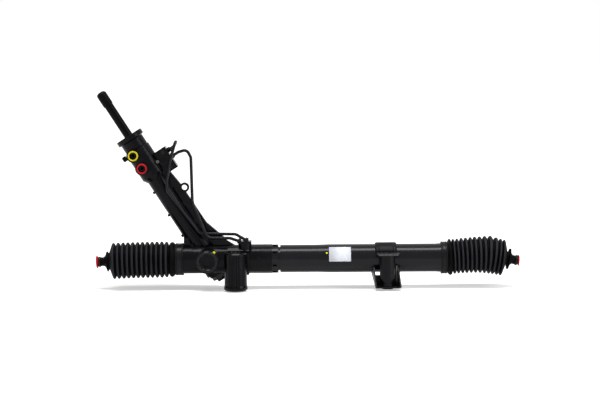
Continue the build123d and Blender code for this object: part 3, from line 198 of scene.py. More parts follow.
casting = painted(
    "black_casting", (0.0005, 0.0006, 0.0011), (0.0020, 0.0021, 0.0040), (0.17, 0.26), 0.09, 800, 0.00010, 0.0006
)
tube_paint = painted(
    "black_tube", (0.0012, 0.0013, 0.0026), (0.0024, 0.0026, 0.0048), (0.21, 0.23), 0.18, 420, 0.000006, 0.00003
)
rough_paint = painted(
    "rough_paint", (0.0008, 0.0009, 0.0016), (0.0020, 0.0022, 0.0036), (0.38, 0.46), 0.09, 520, 0.00004, 0.0002
)
sleeve_paint = painted(
    "sleeve_paint", (0.0006, 0.0007, 0.0014), (0.0018, 0.0020, 0.0036), (0.30, 0.36), 0.12, 420, 0.00001, 0.00004
)
oiled_black = painted(
    "oiled_black", (0.0004, 0.0004, 0.0008), (0.0010, 0.0011, 0.0018), (0.16, 0.20), 0.06, 420, 0.000006, 0.00003
)
print("paints", [m.name for m in (casting, tube_paint, rough_paint, sleeve_paint, oiled_black)])

# %% [markdown]
# ## Rubber and plastic
# Moulded rubber is matt, with a little grey bloom. On a boot's folds the colour carries painted light: a painted
# highlight of dull grey along each crest, and painted shade, deep black, in the valleys. The boots' mesh carries
# a number at each point, 1 on a crest and 0 in a valley, and the finish reads it as an attribute. The transit
# plugs are soft moulded plastic, even in colour with a faint mottle, and shinier than the rubber.

# %% Rubber and plastic
def rubber_finish():
    material, shader = start_finish("rubber_black", 0.42, specular=0.12)
    bloom = speckle(material, 60, 4)
    colour = shade_between(material, bloom, (0.0016, 0.0016, 0.0020), (0.0046, 0.0046, 0.0054))
    join(material, colour, shader, "Base Color")
    join(material, spread(material, bloom, 0.36, 0.46), shader, "Roughness")
    relief(material, shader, speckle(material, 1500, 3), 0.00002)
    return material


def plastic_finish(name, low, high, roughness=0.35, specular=0.4):
    material, shader = start_finish(name, roughness, specular=specular)
    cloud = speckle(material, 120, 3)
    join(material, shade_between(material, cloud, low, high), shader, "Base Color")
    join(material, spread(material, cloud, roughness - 0.04, roughness + 0.06), shader, "Roughness")
    relief(material, shader, speckle(material, 1200, 2), 0.000015)
    return material


def folded_rubber_finish():
    """Rubber with a painted highlight along the crests of its folds and painted shade in its valleys."""
    material, shader = start_finish("rubber_folds", 0.55, specular=0.05)
    # Painted highlight and painted shade: the crest number turns the colour dull grey on each crest and deep
    # black in the valleys.
    crest = material.node_tree.nodes.new("ShaderNodeAttribute")
    crest.attribute_name = "crest"
    uneven = spread(material, speckle(material, 45, 4), 0.97, 1.03)
    painted_crest_light = combine(material.node_tree, "MULTIPLY", crest.outputs["Fac"], uneven)
    colour = shade_between(material, painted_crest_light, (0.0006, 0.0006, 0.0009), (0.022, 0.022, 0.026), 0.92, 1.02)
    join(material, colour, shader, "Base Color")
    relief(material, shader, speckle(material, 1500, 3), 0.00002)
    return material


rubber = rubber_finish()
rubber_folds = folded_rubber_finish()
black_plastic = plastic_finish("black_plastic", (0.0015, 0.0015, 0.002), (0.0030, 0.0030, 0.0040), 0.30, 0.05)
yellow_plastic = plastic_finish("yellow_plastic", (0.66, 0.55, 0.010), (0.76, 0.64, 0.016), 0.42, 0.15)
red_plastic = plastic_finish("red_plastic", (0.46, 0.010, 0.018), (0.56, 0.014, 0.024), 0.42, 0.1)
seal_plastic = plastic_finish("seal_plastic", (0.02, 0.016, 0.012), (0.035, 0.028, 0.02))
yellow_paint = plastic_finish("yellow_paint", (0.74, 0.70, 0.004), (0.88, 0.84, 0.010), 0.5, 0.3)
label_film = plastic_finish("label_film", (0.70, 0.72, 0.77), (0.76, 0.78, 0.83), 0.4, 0.2)
print("plastics", [m.name for m in (black_plastic, yellow_plastic, red_plastic, yellow_paint, label_film)])

# %% [markdown]
# ## Bare metal
# Ground steel, cast alloy and bronze differ in colour and in how rough they are. Most of this metal is inside
# the gear. The screws outside are plated, and the boot bands are steel with a black coat.

# %% Metals
def metal_finish(name, low, high, roughness, depth=0.00001):
    material, shader = start_finish(name, roughness[0], metallic=1.0)
    cloud = speckle(material, 150, 4)
    join(material, shade_between(material, cloud, low, high), shader, "Base Color")
    join(material, spread(material, cloud, *roughness), shader, "Roughness")
    relief(material, shader, speckle(material, 1100, 3), depth)
    return material


steel = metal_finish("machined_steel", (0.50, 0.50, 0.51), (0.60, 0.60, 0.61), (0.25, 0.38))
alloy = metal_finish("cast_alloy", (0.48, 0.48, 0.49), (0.58, 0.58, 0.59), (0.45, 0.6), 0.00005)
screws = metal_finish("bright_screws", (0.07, 0.07, 0.07), (0.12, 0.12, 0.12), (0.3, 0.45))
bronze = metal_finish("bronze", (0.50, 0.32, 0.14), (0.60, 0.40, 0.19), (0.3, 0.45))
clamp_steel = painted(
    "clamp_steel", (0.0018, 0.0019, 0.0024), (0.0040, 0.0042, 0.0050), (0.26, 0.34), 0.14, 900, 0.00001, 0.00002
)
print("metals", [m.name for m in (steel, alloy, screws, bronze, clamp_steel)])

# %% [markdown]
# ## Pressed sheet with bare edges
# The bracket and the lip plate are cut from sheet, bent and dipped thinly, so their cut edges at the front show
# dull bare steel. Those edges look forwards, so the finish picks them by the direction of the surface. The
# bracket's back wall looks forwards too, so a height and a depth are limits as well. Noise keeps the edge of the
# paint ragged. A bevel-based wear mask would also mark the bends, which are black.

# %% Sheet metal with bare cut edges
def bare_edge_finish(name, bare, lowest, hindmost, raggedness):
    """Black paint that is bare on the foremost faces, above a height."""
    material, shader = start_finish(name, 0.38, specular=0.12)
    tree = material.node_tree
    coordinates = tree.nodes.new("ShaderNodeTexCoord")
    facing = tree.nodes.new("ShaderNodeSeparateXYZ")
    place = tree.nodes.new("ShaderNodeSeparateXYZ")
    tree.links.new(coordinates.outputs["Normal"], facing.inputs["Vector"])
    tree.links.new(coordinates.outputs["Object"], place.inputs["Vector"])
    limits = (
        carried(tree, facing.outputs["Y"], (-0.80, -0.92)),
        carried(tree, place.outputs["Z"], (lowest, lowest + 6 * MM)),
        carried(tree, place.outputs["Y"], (hindmost, hindmost - 4 * MM)),
    )
    bareness = spread(material, speckle(material, 420, 4), raggedness, 1.0)
    for limit in limits:
        bareness = combine(tree, "MULTIPLY", bareness, limit)
    colour = shade_between(material, bareness, (0.0030, 0.0031, 0.0040), bare, 0.0, 1.0)
    join(material, colour, shader, "Base Color")
    relief(material, shader, speckle(material, 700, 3), 0.00003)
    return material


bracket_sheet = bare_edge_finish("bracket_sheet", (0.17, 0.175, 0.145), -24 * MM, 18 * MM, 0.6)
lip_sheet = bare_edge_finish("lip_sheet", (0.115, 0.115, 0.125), -60 * MM, 100 * MM, 0.25)
print("sheet finishes", bracket_sheet.name, lip_sheet.name)

# %% [markdown]
# ## Give each CAD piece its finish
# The record says which finish each piece has. One table from those names to the materials keeps it honest. A
# second, short table is for the few pieces that look a little different from the rest of their group.

# %% Finishes on the CAD pieces
FINISHES = {
    "black_casting": casting,
    "black_tube": tube_paint,
    "worn_black": lip_sheet,
    "bright_screws": screws,
    "machined_steel": steel,
    "cast_alloy": alloy,
    "bronze": bronze,
    "seal_plastic": seal_plastic,
    "rubber_black": rubber,
    "black_plastic": black_plastic,
    "yellow_plastic": yellow_plastic,
    "red_plastic": red_plastic,
    "clamp_steel": clamp_steel,
    "label_white": label_film,
}
OWN_FINISHES = {
    "right_bracket": bracket_sheet,
    "yoke_plug": casting,
    "right_saddle": rough_paint,
    "input_shaft": oiled_black,
    "right_mount_sleeve": sleeve_paint,
    "left_bush_tube": sleeve_paint,
}
for entry in frame["record"]["subparts"]:
    node = entry["node"]
    materials = solids[node].data.materials
    materials.clear()
    materials.append(OWN_FINISHES.get(node, FINISHES[entry["material_slot"]]))

# %% [markdown]
# ## Two shapers for new pieces
# Nearly every added piece is round, so a line of points is spun round an axis with the spin operator. It is
# drawn in millimetres as radius and length, lies along Z, and is carried to its place by a matrix. Bending
# each ring of points by its own matrix turns a straight boot into a hanging one.

# %% Spinning, rounding and placing
SAME_PLACE = 1e-6


def spun(outline, closed=False, steps=96):
    """Turns a line of (radius, length) points all the way round the Z axis."""
    work = bmesh.new()
    points = [work.verts.new((radius * MM, 0, length * MM)) for radius, length in outline]
    pairs = list(zip(points, points[1:])) + ([(points[-1], points[0])] if closed else [])
    lines = [work.edges.new(pair) for pair in pairs]
    bmesh.ops.spin(
        work, geom=points + lines, cent=(0, 0, 0), axis=(0, 0, 1), angle=2 * math.pi, steps=steps, use_merge=True
    )
    bmesh.ops.remove_doubles(work, verts=work.verts, dist=SAME_PLACE)
    bmesh.ops.recalc_face_normals(work, faces=work.faces)
    return work


def round_rings(work, lengths, width, segments):
    """Bevels the edges that run round the axis at these lengths."""
    rings = []
    for edge in work.edges:
        first, second = (v.co for v in edge.verts)
        level = abs(first.z - second.z) < SAME_PLACE and abs(first.xy.length - second.xy.length) < SAME_PLACE
        if level and any(abs(first.z - length * MM) < SAME_PLACE for length in lengths):
            rings.append(edge)
    bmesh.ops.bevel(
        work, geom=rings, offset=width * MM, offset_type="OFFSET", segments=segments, profile=0.5,
        affect="EDGES", material=-1,
    )


def new_piece(name, work, finish):
    """A finished mesh becomes an object that rides on the housing."""
    mesh = bpy.data.meshes.new(name)
    work.to_mesh(mesh)
    work.free()
    mesh.materials.append(finish)
    mesh.shade_smooth()
    piece = bpy.data.objects.new(name, mesh)
    bpy.context.scene.collection.objects.link(piece)
    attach(piece, "housing")
    print(name, len(mesh.polygons), "faces, size in mm", [round(v / MM, 1) for v in piece.dimensions])
    return piece


def merged(first, *others):
    """Puts several bmeshes into the first one."""
    for part in others:
        carrier = bpy.data.meshes.new("carrier")
        part.to_mesh(carrier)
        part.free()
        first.from_mesh(carrier)
        bpy.data.meshes.remove(carrier)
    return first


# %% [markdown]
# ## The rubber boots
# A boot keeps dirt off the rack. It is moulded with thirteen folds, soft at the crests and sharp in the
# valleys, and it is never quite straight once fitted: it sags, its folds crowd together at one end and its
# far end tips. So each fold has its own place, rise, lean and radius, as if measured with a rule. The shape
# is a zigzag spun round an axis, its crests are bevelled round, and then each ring moves to its own frame.
# A sculpted mesh would look softer, but its folds would lose their even wall. A lean is how far a ring's top is
# ahead of its foot, and "end" is the outline past the last fold, as radius and length.

# %% Measures of the boots, in millimetres
COUNT = 13  # folds
FOLD_DEPTH = 4.8
CREST_ROUNDING = 7.0
CREST_SPARE = 4.6  # what the rounding takes off a sharp crest
BOOT_DIAMETER = 59.0
WALL = 1.2 * MM
CUFF_BORE, CUFF, CUFF_RIB, RIB_WIDTH = 24.2, 25.9, 27.1, 2.2
CUFF_CREST_LIGHT, FIRST_FOLD_CREST_LIGHT = 0.80, 0.86  # crest numbers that keep the painted crest highlight off the cuff and the first fold

left_boot_measures = {
    "towards": -1,
    "cuff": (-88.0, 12.4),
    "places": [-108.2 - 8.03 * fold for fold in range(COUNT)],
    "rises": [-0.3 - 1.9 * (fold / 12) ** 2 for fold in range(COUNT)],
    "leans": [2.0 * fold / 12 for fold in range(COUNT)],
    "crests": [27.9, 29.2] + [29.6] * 11,
    "end_tilt": 3.0,
    "end": [
        (13.6, 7.4), (17.0, 10.6), (17.0, 11.3), (10.4, 13.8), (7.4, 16.6),
        (7.4, 21.4), (8.0, 22.0), (8.0, 25.4), (5.5, 25.4),
    ],
}
right_boot_measures = {
    "towards": 1,
    "cuff": (341.3, 9.7),
    "places": [357.3, 363.4, 369.8, 376.9, 384.0, 391.6, 398.8, 406.6, 414.5, 422.6, 431.2, 438.1, 444.3],
    "rises": [1.1, 1.8, 2.2, 3.1, 3.3, 3.9, 4.3, 4.3, 4.4, 4.1, 2.2, 0.5, -1.0],
    "leans": [-2.5, -3.2, -3.2, -2.7, -2.4, -1.6, -1.5, -0.8, 0.5, 3.2, 7.6, 8.1, 8.0],
    "crests": [29.5, 28.7, 28.7, 29.1, 29.1, 29.3, 29.7, 29.8, 30.5, 31.2, 30.2, 29.9, 29.6],
    "end_tilt": 10.3,
    "end": [
        (10.9, 7.0), (17.2, 10.6), (17.2, 11.1), (10.4, 14.2), (7.5, 17.0),
        (7.6, 21.4), (8.2, 22.0), (8.3, 25.8), (5.5, 25.8),
    ],
}

# %% From a straight boot to a hanging one
def hanging_frame(x, rise, tilt, towards):
    """Centre on the boot's axis, X upwards in the ring and Z out along the boot."""
    out = (towards * math.cos(tilt), 0, -math.sin(tilt))
    up = (towards * math.sin(tilt), 0, math.cos(tilt))
    return frame_from((x * MM, RACK_Y, RACK_Z + rise * MM), up, out)


def between(value, places, numbers):
    """Reads a number off a table by straight lines between its places."""
    for (low, high), (first, second) in zip(zip(places, places[1:]), zip(numbers, numbers[1:])):
        if value <= high:
            return first + (second - first) * max(0.0, value - low) / (high - low)
    return numbers[-1]


def end_frame(measures, along=0.0):
    """The frame of the boot's small end, a length past its last fold."""
    last_fold = hanging_frame(
        measures["places"][-1], measures["rises"][-1], math.radians(measures["end_tilt"]), measures["towards"]
    )
    return last_fold @ Matrix.Translation((0, 0, along * MM))


def boot_shape(measures):
    """A zigzag is spun, rounded and numbered by its crests, and then it's hung ring by ring."""
    start, cuff_length = measures["cuff"]
    towards = measures["towards"]
    lengths = [abs(x - start) for x in measures["places"]]
    crests = measures["crests"]
    rib_start = cuff_length - RIB_WIDTH
    outline = [(CUFF_BORE, 0), (CUFF_RIB, 0), (CUFF_RIB, RIB_WIDTH), (CUFF, RIB_WIDTH), (CUFF, rib_start)]
    outline += [(CUFF_RIB, rib_start), (CUFF_RIB, cuff_length), (CUFF - 0.5, cuff_length + 1.1)]
    for fold in range(COUNT):
        outline.append((crests[fold] + CREST_SPARE, lengths[fold]))
        if fold < COUNT - 1:
            valley = (crests[fold] + crests[fold + 1]) / 2 - FOLD_DEPTH
            outline.append((valley, (lengths[fold] + lengths[fold + 1]) / 2))
    outline += [(radius, lengths[-1] + length) for radius, length in measures["end"]]
    work = spun(outline)
    round_rings(work, lengths, CREST_ROUNDING, 8)
    round_rings(work, [0, RIB_WIDTH, rib_start, cuff_length], 0.5, 2)
    end_rings = [lengths[-1] + length for _, length in measures["end"][1:3]]
    round_rings(work, end_rings, 0.35, 2)

    # The crest number sets where the fold finish paints its highlight on the crests and its shade in the valleys.
    crest_layer = work.verts.layers.float.new("crest")
    for vertex in work.verts:
        spot, radius = vertex.co.z / MM, vertex.co.xy.length / MM
        height = (radius - between(spot, lengths, crests) + FOLD_DEPTH) / FOLD_DEPTH
        folded = cuff_length + 3 < spot < lengths[-1] + 1.5
        crest_light_share = FIRST_FOLD_CREST_LIGHT if spot < (lengths[0] + lengths[1]) / 2 else 1.0
        vertex[crest_layer] = min(1.0, max(0.0, height)) * crest_light_share if folded else CUFF_CREST_LIGHT

    rings = {}
    for vertex in work.verts:
        rings.setdefault(round(vertex.co.z, 6), []).append(vertex)
    places = [0, cuff_length] + lengths
    rises = [0, 0] + measures["rises"]
    leans = [0, 0] + measures["leans"]
    for length, ring in rings.items():
        spot = length / MM
        if spot > lengths[-1] + 2.5:
            there = end_frame(measures, spot - lengths[-1])
        else:
            rise, lean = between(spot, places, rises), between(spot, places, leans)
            there = hanging_frame(start + towards * spot, rise, math.atan2(lean, BOOT_DIAMETER), towards)
        bmesh.ops.transform(work, matrix=there @ Matrix.Translation((0, 0, -length)), verts=ring)
    return work


# %% Both boots
def make_boot(name, measures, node):
    """The cuff is shinier than the folds, so its faces take a second material."""
    piece = new_piece(name, boot_shape(measures), rubber_folds)
    piece.data.materials.append(rubber)
    cuff_start, cuff_length = measures["cuff"]
    for face in piece.data.polygons:
        if abs(face.center.x / MM - cuff_start) < cuff_length + 0.2:
            face.material_index = 1
    wall = piece.modifiers.new("wall", "SOLIDIFY")
    wall.thickness = WALL
    wall.offset = -1
    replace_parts(piece, node)


make_boot("left_bellows", left_boot_measures, "boot_left")
make_boot("right_bellows", right_boot_measures, "boot_right")

# %% [markdown]
# ### Clips and transit plugs of the boots
# A thin band closes each boot's small end on the tie rod. Here the gear is packed without tie rods, so a soft
# red plug with a wide lens-shaped head fills each end. Both are spun like the boots and sit in the same end
# frame. The right-hand plug isn't pushed in squarely, so its frame is turned back a little.

# %% Small-end bands and plugs
def boot_band(measures, low, high, inner, outer):
    work = spun([(inner, low), (outer, low), (outer, high), (inner, high)], closed=True, steps=64)
    round_rings(work, [low, high], 0.3, 2)
    bmesh.ops.transform(work, matrix=end_frame(measures), verts=work.verts)
    return work


def plug_shape(place, head, low, thick):
    """A plug with its head's underside at a length along its frame."""
    top = low + thick
    rim = (low + thick * 0.45, low + thick * 0.62)
    outline = [(0, low - 7), (5.3, low - 7), (5.8, low - 6), (5.8, low - 0.6), (head * 0.72, low)]
    outline += [(head, rim[0]), (head, rim[1]), (head * 0.8, top - 0.2), (0, top)]
    work = spun(outline, steps=64)
    round_rings(work, rim, 0.3, 2)
    bmesh.ops.transform(work, matrix=place, verts=work.verts)
    return work


BAND_EDGES = (22.4, 24.9)
bands = merged(
    boot_band(left_boot_measures, *BAND_EDGES, 7.9, 8.7), boot_band(right_boot_measures, *BAND_EDGES, 8.1, 8.9)
)
neck_bands = new_piece("small_end_bands", bands, clamp_steel)
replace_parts(neck_bands, "boot_clips")

left_plug_frame = end_frame(left_boot_measures, 25.6)
right_plug_frame = end_frame(right_boot_measures, 25.8) @ Matrix.Rotation(math.radians(7.0), 4, "Y")
plugs = merged(plug_shape(left_plug_frame, 11.0, 0.2, 4.0), plug_shape(right_plug_frame, 9.6, 0.3, 2.9))
end_plugs = new_piece("end_plugs", plugs, red_plastic)
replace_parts(end_plugs, "boot_plugs")

# %% [markdown]
# ### Ears of the big bands
# The wide bands round the cuffs are closed by a pinched ear, a small arch that pliers squeeze. It sits at the
# back here, where the fitter's pliers reach. A block is subdivided and smoothed, and its middle is drawn in to
# make the arch.

# %% Pinched ears
def ear_shape(x, radius, turn):
    """An arch on a band: a block with a narrow waist, on the circle of the band."""
    work = bmesh.new()
    bmesh.ops.create_cube(work, size=1.0)
    bmesh.ops.scale(work, vec=(5.2 * MM, 9.0 * MM, 3.4 * MM), verts=work.verts)
    bmesh.ops.subdivide_edges(work, edges=work.edges, cuts=3, use_grid_fill=True)
    waist = [v for v in work.verts if abs(v.co.y) < 1.2 * MM and v.co.z < 1.0 * MM]
    bmesh.ops.scale(work, vec=(1.0, 0.5, 1.0), verts=waist)
    feet = [v for v in work.verts if v.co.z < -1.0 * MM]
    bmesh.ops.scale(work, vec=(1.0, 1.45, 1.0), verts=feet)
    bmesh.ops.smooth_vert(work, verts=work.verts, factor=0.35, use_axis_x=True, use_axis_y=True, use_axis_z=True)
    bmesh.ops.recalc_face_normals(work, faces=work.faces)
    place = Matrix.Translation((x * MM, RACK_Y, RACK_Z)) @ Matrix.Rotation(turn, 4, "X")
    bmesh.ops.transform(work, matrix=place @ Matrix.Translation((0, 0, radius * MM)), verts=work.verts)
    return work


EAR_TURN = math.radians(-60)
EAR_RADIUS = 27.6
ears = merged(ear_shape(-94.2, EAR_RADIUS, EAR_TURN), ear_shape(346.15, EAR_RADIUS, EAR_TURN))
new_piece("band_ears", ears, clamp_steel)

# %% [markdown]
# ## Transit plugs in the ports
# The two hose ports are closed by soft rings with a dark hollow middle, one yellow and one red, so that the
# hoses can't be swapped. Each is spun from one closed outline, with its outer edges rounded.

# %% Port plugs
PORT_FACE = -28.0


def port_plug(name, across, station, finish, node):
    """A ring on a port, whose place is given across and along the tower."""
    outline = [(6.6, -6.0), (7.0, -6.0), (7.2, 0.05), (8.5, 0.05), (8.5, 2.3), (6.1, 2.3), (6.2, 0.8), (6.6, 0.5)]
    work = spun(outline, closed=True, steps=72)
    round_rings(work, [0.05, 2.3], 0.5, 3)
    place = frame_from(TOWER @ (Vector((across, PORT_FACE, station)) * MM), (0, 0, 1), (0, -1, 0))
    bmesh.ops.transform(work, matrix=place, verts=work.verts)
    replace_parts(new_piece(name, work, finish), node)


port_plug("yellow_ring_plug", -9.6, 212.6, yellow_plastic, "yellow_port_plug")
port_plug("red_ring_plug", -9.0, 187.0, red_plastic, "red_port_plug")

# %% [markdown]
# ## The label
# A film label is wrapped round the tube. It is left bare. The sheet starts as one flat rectangle with rounded
# corners, is cut into rows, and each row turns round the tube's axis by its own angle, so that the film keeps
# its real size. Solidify then gives it the thickness of film.

# %% Wrapped film
LABEL_ROWS = 14


def label_shape(low_x, high_x, low_turn, high_turn, radius):
    """A film between two places along the tube and two angles round it. Angle 0 is the front."""
    work = bmesh.new()
    bmesh.ops.create_grid(work, x_segments=1, y_segments=1, size=0.5)
    height = radius * (high_turn - low_turn)
    bmesh.ops.scale(work, vec=((high_x - low_x) * MM, height * MM, 1), verts=work.verts)
    bmesh.ops.bevel(
        work, geom=work.verts[:], offset=1.3 * MM, offset_type="OFFSET", segments=3, profile=0.5,
        affect="VERTICES", material=-1,
    )
    for row in range(1, LABEL_ROWS):
        cut = (row / LABEL_ROWS - 0.5) * height * MM
        everything = work.verts[:] + work.edges[:] + work.faces[:]
        bmesh.ops.bisect_plane(work, geom=everything, plane_co=(0, cut, 0), plane_no=(0, 1, 0))
    levels = {}
    for vertex in work.verts:
        levels.setdefault(round(vertex.co.y, 7), []).append(vertex)
    middle = Matrix.Translation(((low_x + high_x) / 2 * MM, RACK_Y, RACK_Z))
    for level, row in levels.items():
        turn = low_turn + (level / MM + height / 2) / radius
        flat = Matrix.Translation((0, -radius * MM - level, 0))
        bmesh.ops.transform(work, matrix=middle @ Matrix.Rotation(-turn, 4, "X") @ flat, verts=row)
    return work


label = new_piece(
    "film_label", label_shape(154.6, 190.9, math.radians(-6.6), math.radians(58.0), 23.66), label_film
)
film = label.modifiers.new("film", "SOLIDIFY")
film.thickness = 0.12 * MM
film.offset = 1
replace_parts(label, "label")

# %% [markdown]
# ## Inspector's paint dots
# A checker dabs yellow paint on the yoke's ring when its play is set, and on the tube when it has been tested.
# A dab is a flat drop with an uneven edge. A disc gets every third point pulled in, and its rim is rolled.

# %% Paint dots
DAB_THICKNESS = 0.35


def dab_shape(place, radius):
    """A drop of paint that stands on the ground of a frame."""
    work = bmesh.new()
    bmesh.ops.create_circle(work, cap_ends=True, segments=24, radius=radius * MM)
    rim = list(work.verts)
    for step, pull in ((3, 0.92), (5, 1.07), (7, 0.95)):
        bmesh.ops.scale(work, vec=(pull, pull, 1), verts=rim[::step])
    raised = bmesh.ops.extrude_face_region(work, geom=work.faces[:])["geom"]
    top = [item for item in raised if isinstance(item, bmesh.types.BMVert)]
    bmesh.ops.translate(work, vec=(0, 0, DAB_THICKNESS * MM), verts=top)
    bmesh.ops.scale(work, vec=(0.86, 0.86, 1), verts=top)
    top_face = [item for item in raised if isinstance(item, bmesh.types.BMFace)]
    bmesh.ops.inset_region(work, faces=top_face, thickness=radius * 0.3 * MM, depth=DAB_THICKNESS * 0.4 * MM)
    bmesh.ops.recalc_face_normals(work, faces=work.faces)
    bmesh.ops.transform(work, matrix=place, verts=work.verts)
    return work


yoke_dot = YOKE @ Matrix.Rotation(math.radians(54), 4, "Z") @ Matrix.Translation(Vector((18.9, 0, 40.9)) * MM)
tube_turn = math.asin(11 / 23)
tube_out = Vector((0, -math.cos(tube_turn), math.sin(tube_turn)))
tube_dot = frame_from(Vector((150.7 * MM, RACK_Y, RACK_Z)) + tube_out * 23.5 * MM, (1, 0, 0), tube_out)
dots = merged(dab_shape(yoke_dot, 2.3), dab_shape(tube_dot, 1.7))
new_piece("paint_dots", dots, yellow_paint)

# %% [markdown]
# ## Weld beads
# The bracket is welded to the tube. A bead is a row of overlapping puddles, so a small circle is pushed from
# place to place and every other ring is made a little fatter. Where the beads go is given as a list of
# matrices, along a line or round a circle.

# %% Beads
THIN_END = 0.55  # of a bead's thickness
RIPPLE = 1.1  # from one puddle to the next


def bead_shape(places, size):
    """A rippled bead through a list of frames."""
    work = bmesh.new()
    ring = bmesh.ops.create_circle(work, cap_ends=True, segments=10, radius=size * MM)["verts"]
    bmesh.ops.transform(work, matrix=places[0] @ Matrix.Diagonal((THIN_END, THIN_END, 1, 1)), verts=ring)
    cap = work.faces[:]
    fatness = THIN_END
    for step, place in enumerate(places[1:], start=1):
        back = (places[step - 1] @ Matrix.Diagonal((fatness, fatness, 1, 1))).inverted()
        pushed = bmesh.ops.extrude_face_region(work, geom=cap)["geom"]
        fatness = THIN_END if step == len(places) - 1 else (1.12 if step % 2 else 0.92)
        cap = [item for item in pushed if isinstance(item, bmesh.types.BMFace)]
        ring = [item for item in pushed if isinstance(item, bmesh.types.BMVert)]
        bmesh.ops.transform(work, matrix=place @ Matrix.Diagonal((fatness, fatness, 1, 1)) @ back, verts=ring)
    bmesh.ops.recalc_face_normals(work, faces=work.faces)
    return work


def along_line(start, stop):
    """Frames along a straight line."""
    start, stop = Vector(start) * MM, Vector(stop) * MM
    count = max(4, round((stop - start).length / (RIPPLE * MM)))
    direction = (stop - start).normalized()
    side = direction.orthogonal().normalized()
    return [frame_from(start.lerp(stop, step / count), side, direction) for step in range(count + 1)]


def round_tube(x, radius, first, last):
    """Frames on a circle round the tube, from one angle to another. Angle 0 is the front."""
    count = max(4, round(radius * abs(last - first) / RIPPLE))
    places = []
    for step in range(count + 1):
        turn = first + (last - first) * step / count
        out = Vector((0, -math.cos(turn), math.sin(turn)))
        ahead = Vector((0, math.sin(turn), math.cos(turn))) * (1 if last > first else -1)
        places.append(frame_from(Vector((x * MM, RACK_Y, RACK_Z)) + out * radius * MM, out, ahead))
    return places


BEAD_Y = 15.2
BEAD_Z = RACK_Z / MM + 12.4  # just above the lip plate
WELD_RADIUS = 23.9
WELD_ANGLES = (math.radians(-32), math.radians(-78))
beads = merged(
    bead_shape(along_line((233.5, BEAD_Y, BEAD_Z), (243.0, BEAD_Y, BEAD_Z)), 1.7),
    bead_shape(along_line((256.5, BEAD_Y, BEAD_Z), (269.5, BEAD_Y, BEAD_Z)), 1.7),
    bead_shape(round_tube(226.5, WELD_RADIUS, *WELD_ANGLES), 1.3),
    bead_shape(round_tube(272.2, WELD_RADIUS, *WELD_ANGLES), 1.3),
)
new_piece("bracket_welds", beads, tube_paint)

# %% [markdown]
# ## Floor, light and camera
# The floor is pale, and far from the gear it glows to the eye so that it runs into the white room with no
# horizon. Near the gear the lamps light most of it, so it keeps the gear's shadow.

# %% Floor
MIDDLE = Vector((0.107, 0.038, 0.08))
FLOOR_Z = cad_low.z - 0.5 * MM


def floor_finish():
    material, shader = start_finish("pale_floor", 0.9, specular=0.0)
    cloud = speckle(material, 3, 2)
    join(material, shade_between(material, cloud, (0.90, 0.90, 0.90), (0.92, 0.92, 0.92)), shader, "Base Color")
    tree = material.node_tree
    path = tree.nodes.new("ShaderNodeLightPath")
    seen = combine(tree, "MAXIMUM", path.outputs["Is Camera Ray"], path.outputs["Is Glossy Ray"])
    coordinates = tree.nodes.new("ShaderNodeTexCoord")
    away = tree.nodes.new("ShaderNodeVectorMath")
    away.operation = "DISTANCE"
    away.inputs[1].default_value = (MIDDLE.x, MIDDLE.y, cad_low.z)
    tree.links.new(coordinates.outputs["Object"], away.inputs[0])
    glow = carried(tree, away.outputs["Value"], (0.30, 1.10), (0.42, 1.0))
    shader.inputs["Emission Color"].default_value = (1, 1, 1, 1)
    join(material, combine(tree, "MULTIPLY", glow, seen), shader, "Emission Strength")
    return material


def make_floor():
    mesh = bpy.data.meshes.new("floor")
    work = bmesh.new()
    bmesh.ops.create_grid(work, x_segments=1, y_segments=1, size=30)
    bmesh.ops.translate(work, verts=work.verts, vec=(0, 0, FLOOR_Z))
    work.to_mesh(mesh)
    work.free()
    floor = bpy.data.objects.new("floor", mesh)
    bpy.context.scene.collection.objects.link(floor)
    mesh.materials.append(floor_finish())


make_floor()
print("floor at", round(FLOOR_Z, 4))

# %% [markdown]
# ### World
# The room is white to the eye and in reflections. As a lamp it is much dimmer, because the two lamps do most of
# the lighting, and all three together make colours render about as they are written.

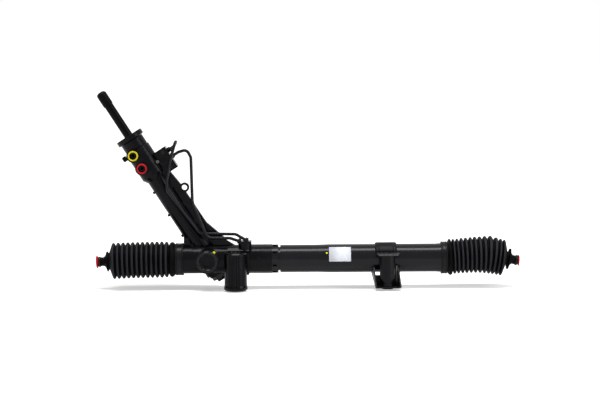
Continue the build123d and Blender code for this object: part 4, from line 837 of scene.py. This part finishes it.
# %% World
WORLD_AS_LAMP = 0.30
world = bpy.data.worlds.new("studio")
bpy.context.scene.world = world
world.use_nodes = True
world_tree = world.node_tree
background = world_tree.nodes["Background"]
background.inputs["Color"].default_value = (1, 1, 1, 1)
path = world_tree.nodes.new("ShaderNodeLightPath")
seen = combine(world_tree, "MAXIMUM", path.outputs["Is Camera Ray"], path.outputs["Is Glossy Ray"])
seen = combine(world_tree, "MAXIMUM", seen, path.outputs["Is Transmission Ray"])
strength = carried(world_tree, seen, (0.0, 1.0), (WORLD_AS_LAMP, 1.0))
world_tree.links.new(strength, background.inputs["Strength"])
print("world as a lamp", WORLD_AS_LAMP)

# %% [markdown]
# ### Lamps
# One long strip lamp hangs almost straight above. On the black tube it makes the thin bright line that shows
# how round and smooth the tube is. A tall, weak box on the right rounds off the tower and the upright sleeves.

# %% Lamps
def soft_lamp(name, offset, size, power):
    """A lamp at an offset from the gear's middle, turned towards it. Its power is in watts."""
    lamp = bpy.data.lights.new(name, "AREA")
    lamp.shape = "RECTANGLE"
    lamp.size, lamp.size_y = size
    lamp.energy = power
    holder = bpy.data.objects.new(name, lamp)
    bpy.context.scene.collection.objects.link(holder)
    holder.location = MIDDLE + Vector(offset)
    holder.rotation_euler = (MIDDLE - holder.location).to_track_quat("-Z", "Y").to_euler()


soft_lamp("strip_above", (0, -0.24, 1.48), (1.5, 0.40), 25)
soft_lamp("big_box_right", (1.40, -0.90, 0.52), (0.6, 1.5), 14)

# %% [markdown]
# ### Camera
# A long lens from three metres keeps the gear's lines nearly square, as in a catalogue picture.

# %% Camera
RISE = math.radians(5.0)
ROLL = math.radians(-0.386)
DISTANCE = 3.0
lens = bpy.data.cameras.new("catalogue")
lens.lens = 108
lens.sensor_width = 36
camera = bpy.data.objects.new("catalogue", lens)
bpy.context.scene.collection.objects.link(camera)
look_at = Vector((0.107, 0.038, 0.1148))
away = Vector((0, -math.cos(RISE), math.sin(RISE)))
camera.matrix_world = (
    Matrix.Translation(look_at + away * DISTANCE)
    @ Matrix.Rotation(math.pi / 2 - RISE, 4, "X")
    @ Matrix.Rotation(ROLL, 4, "Z")
)
bpy.context.scene.camera = camera
bpy.context.scene.view_settings.view_transform = "Standard"
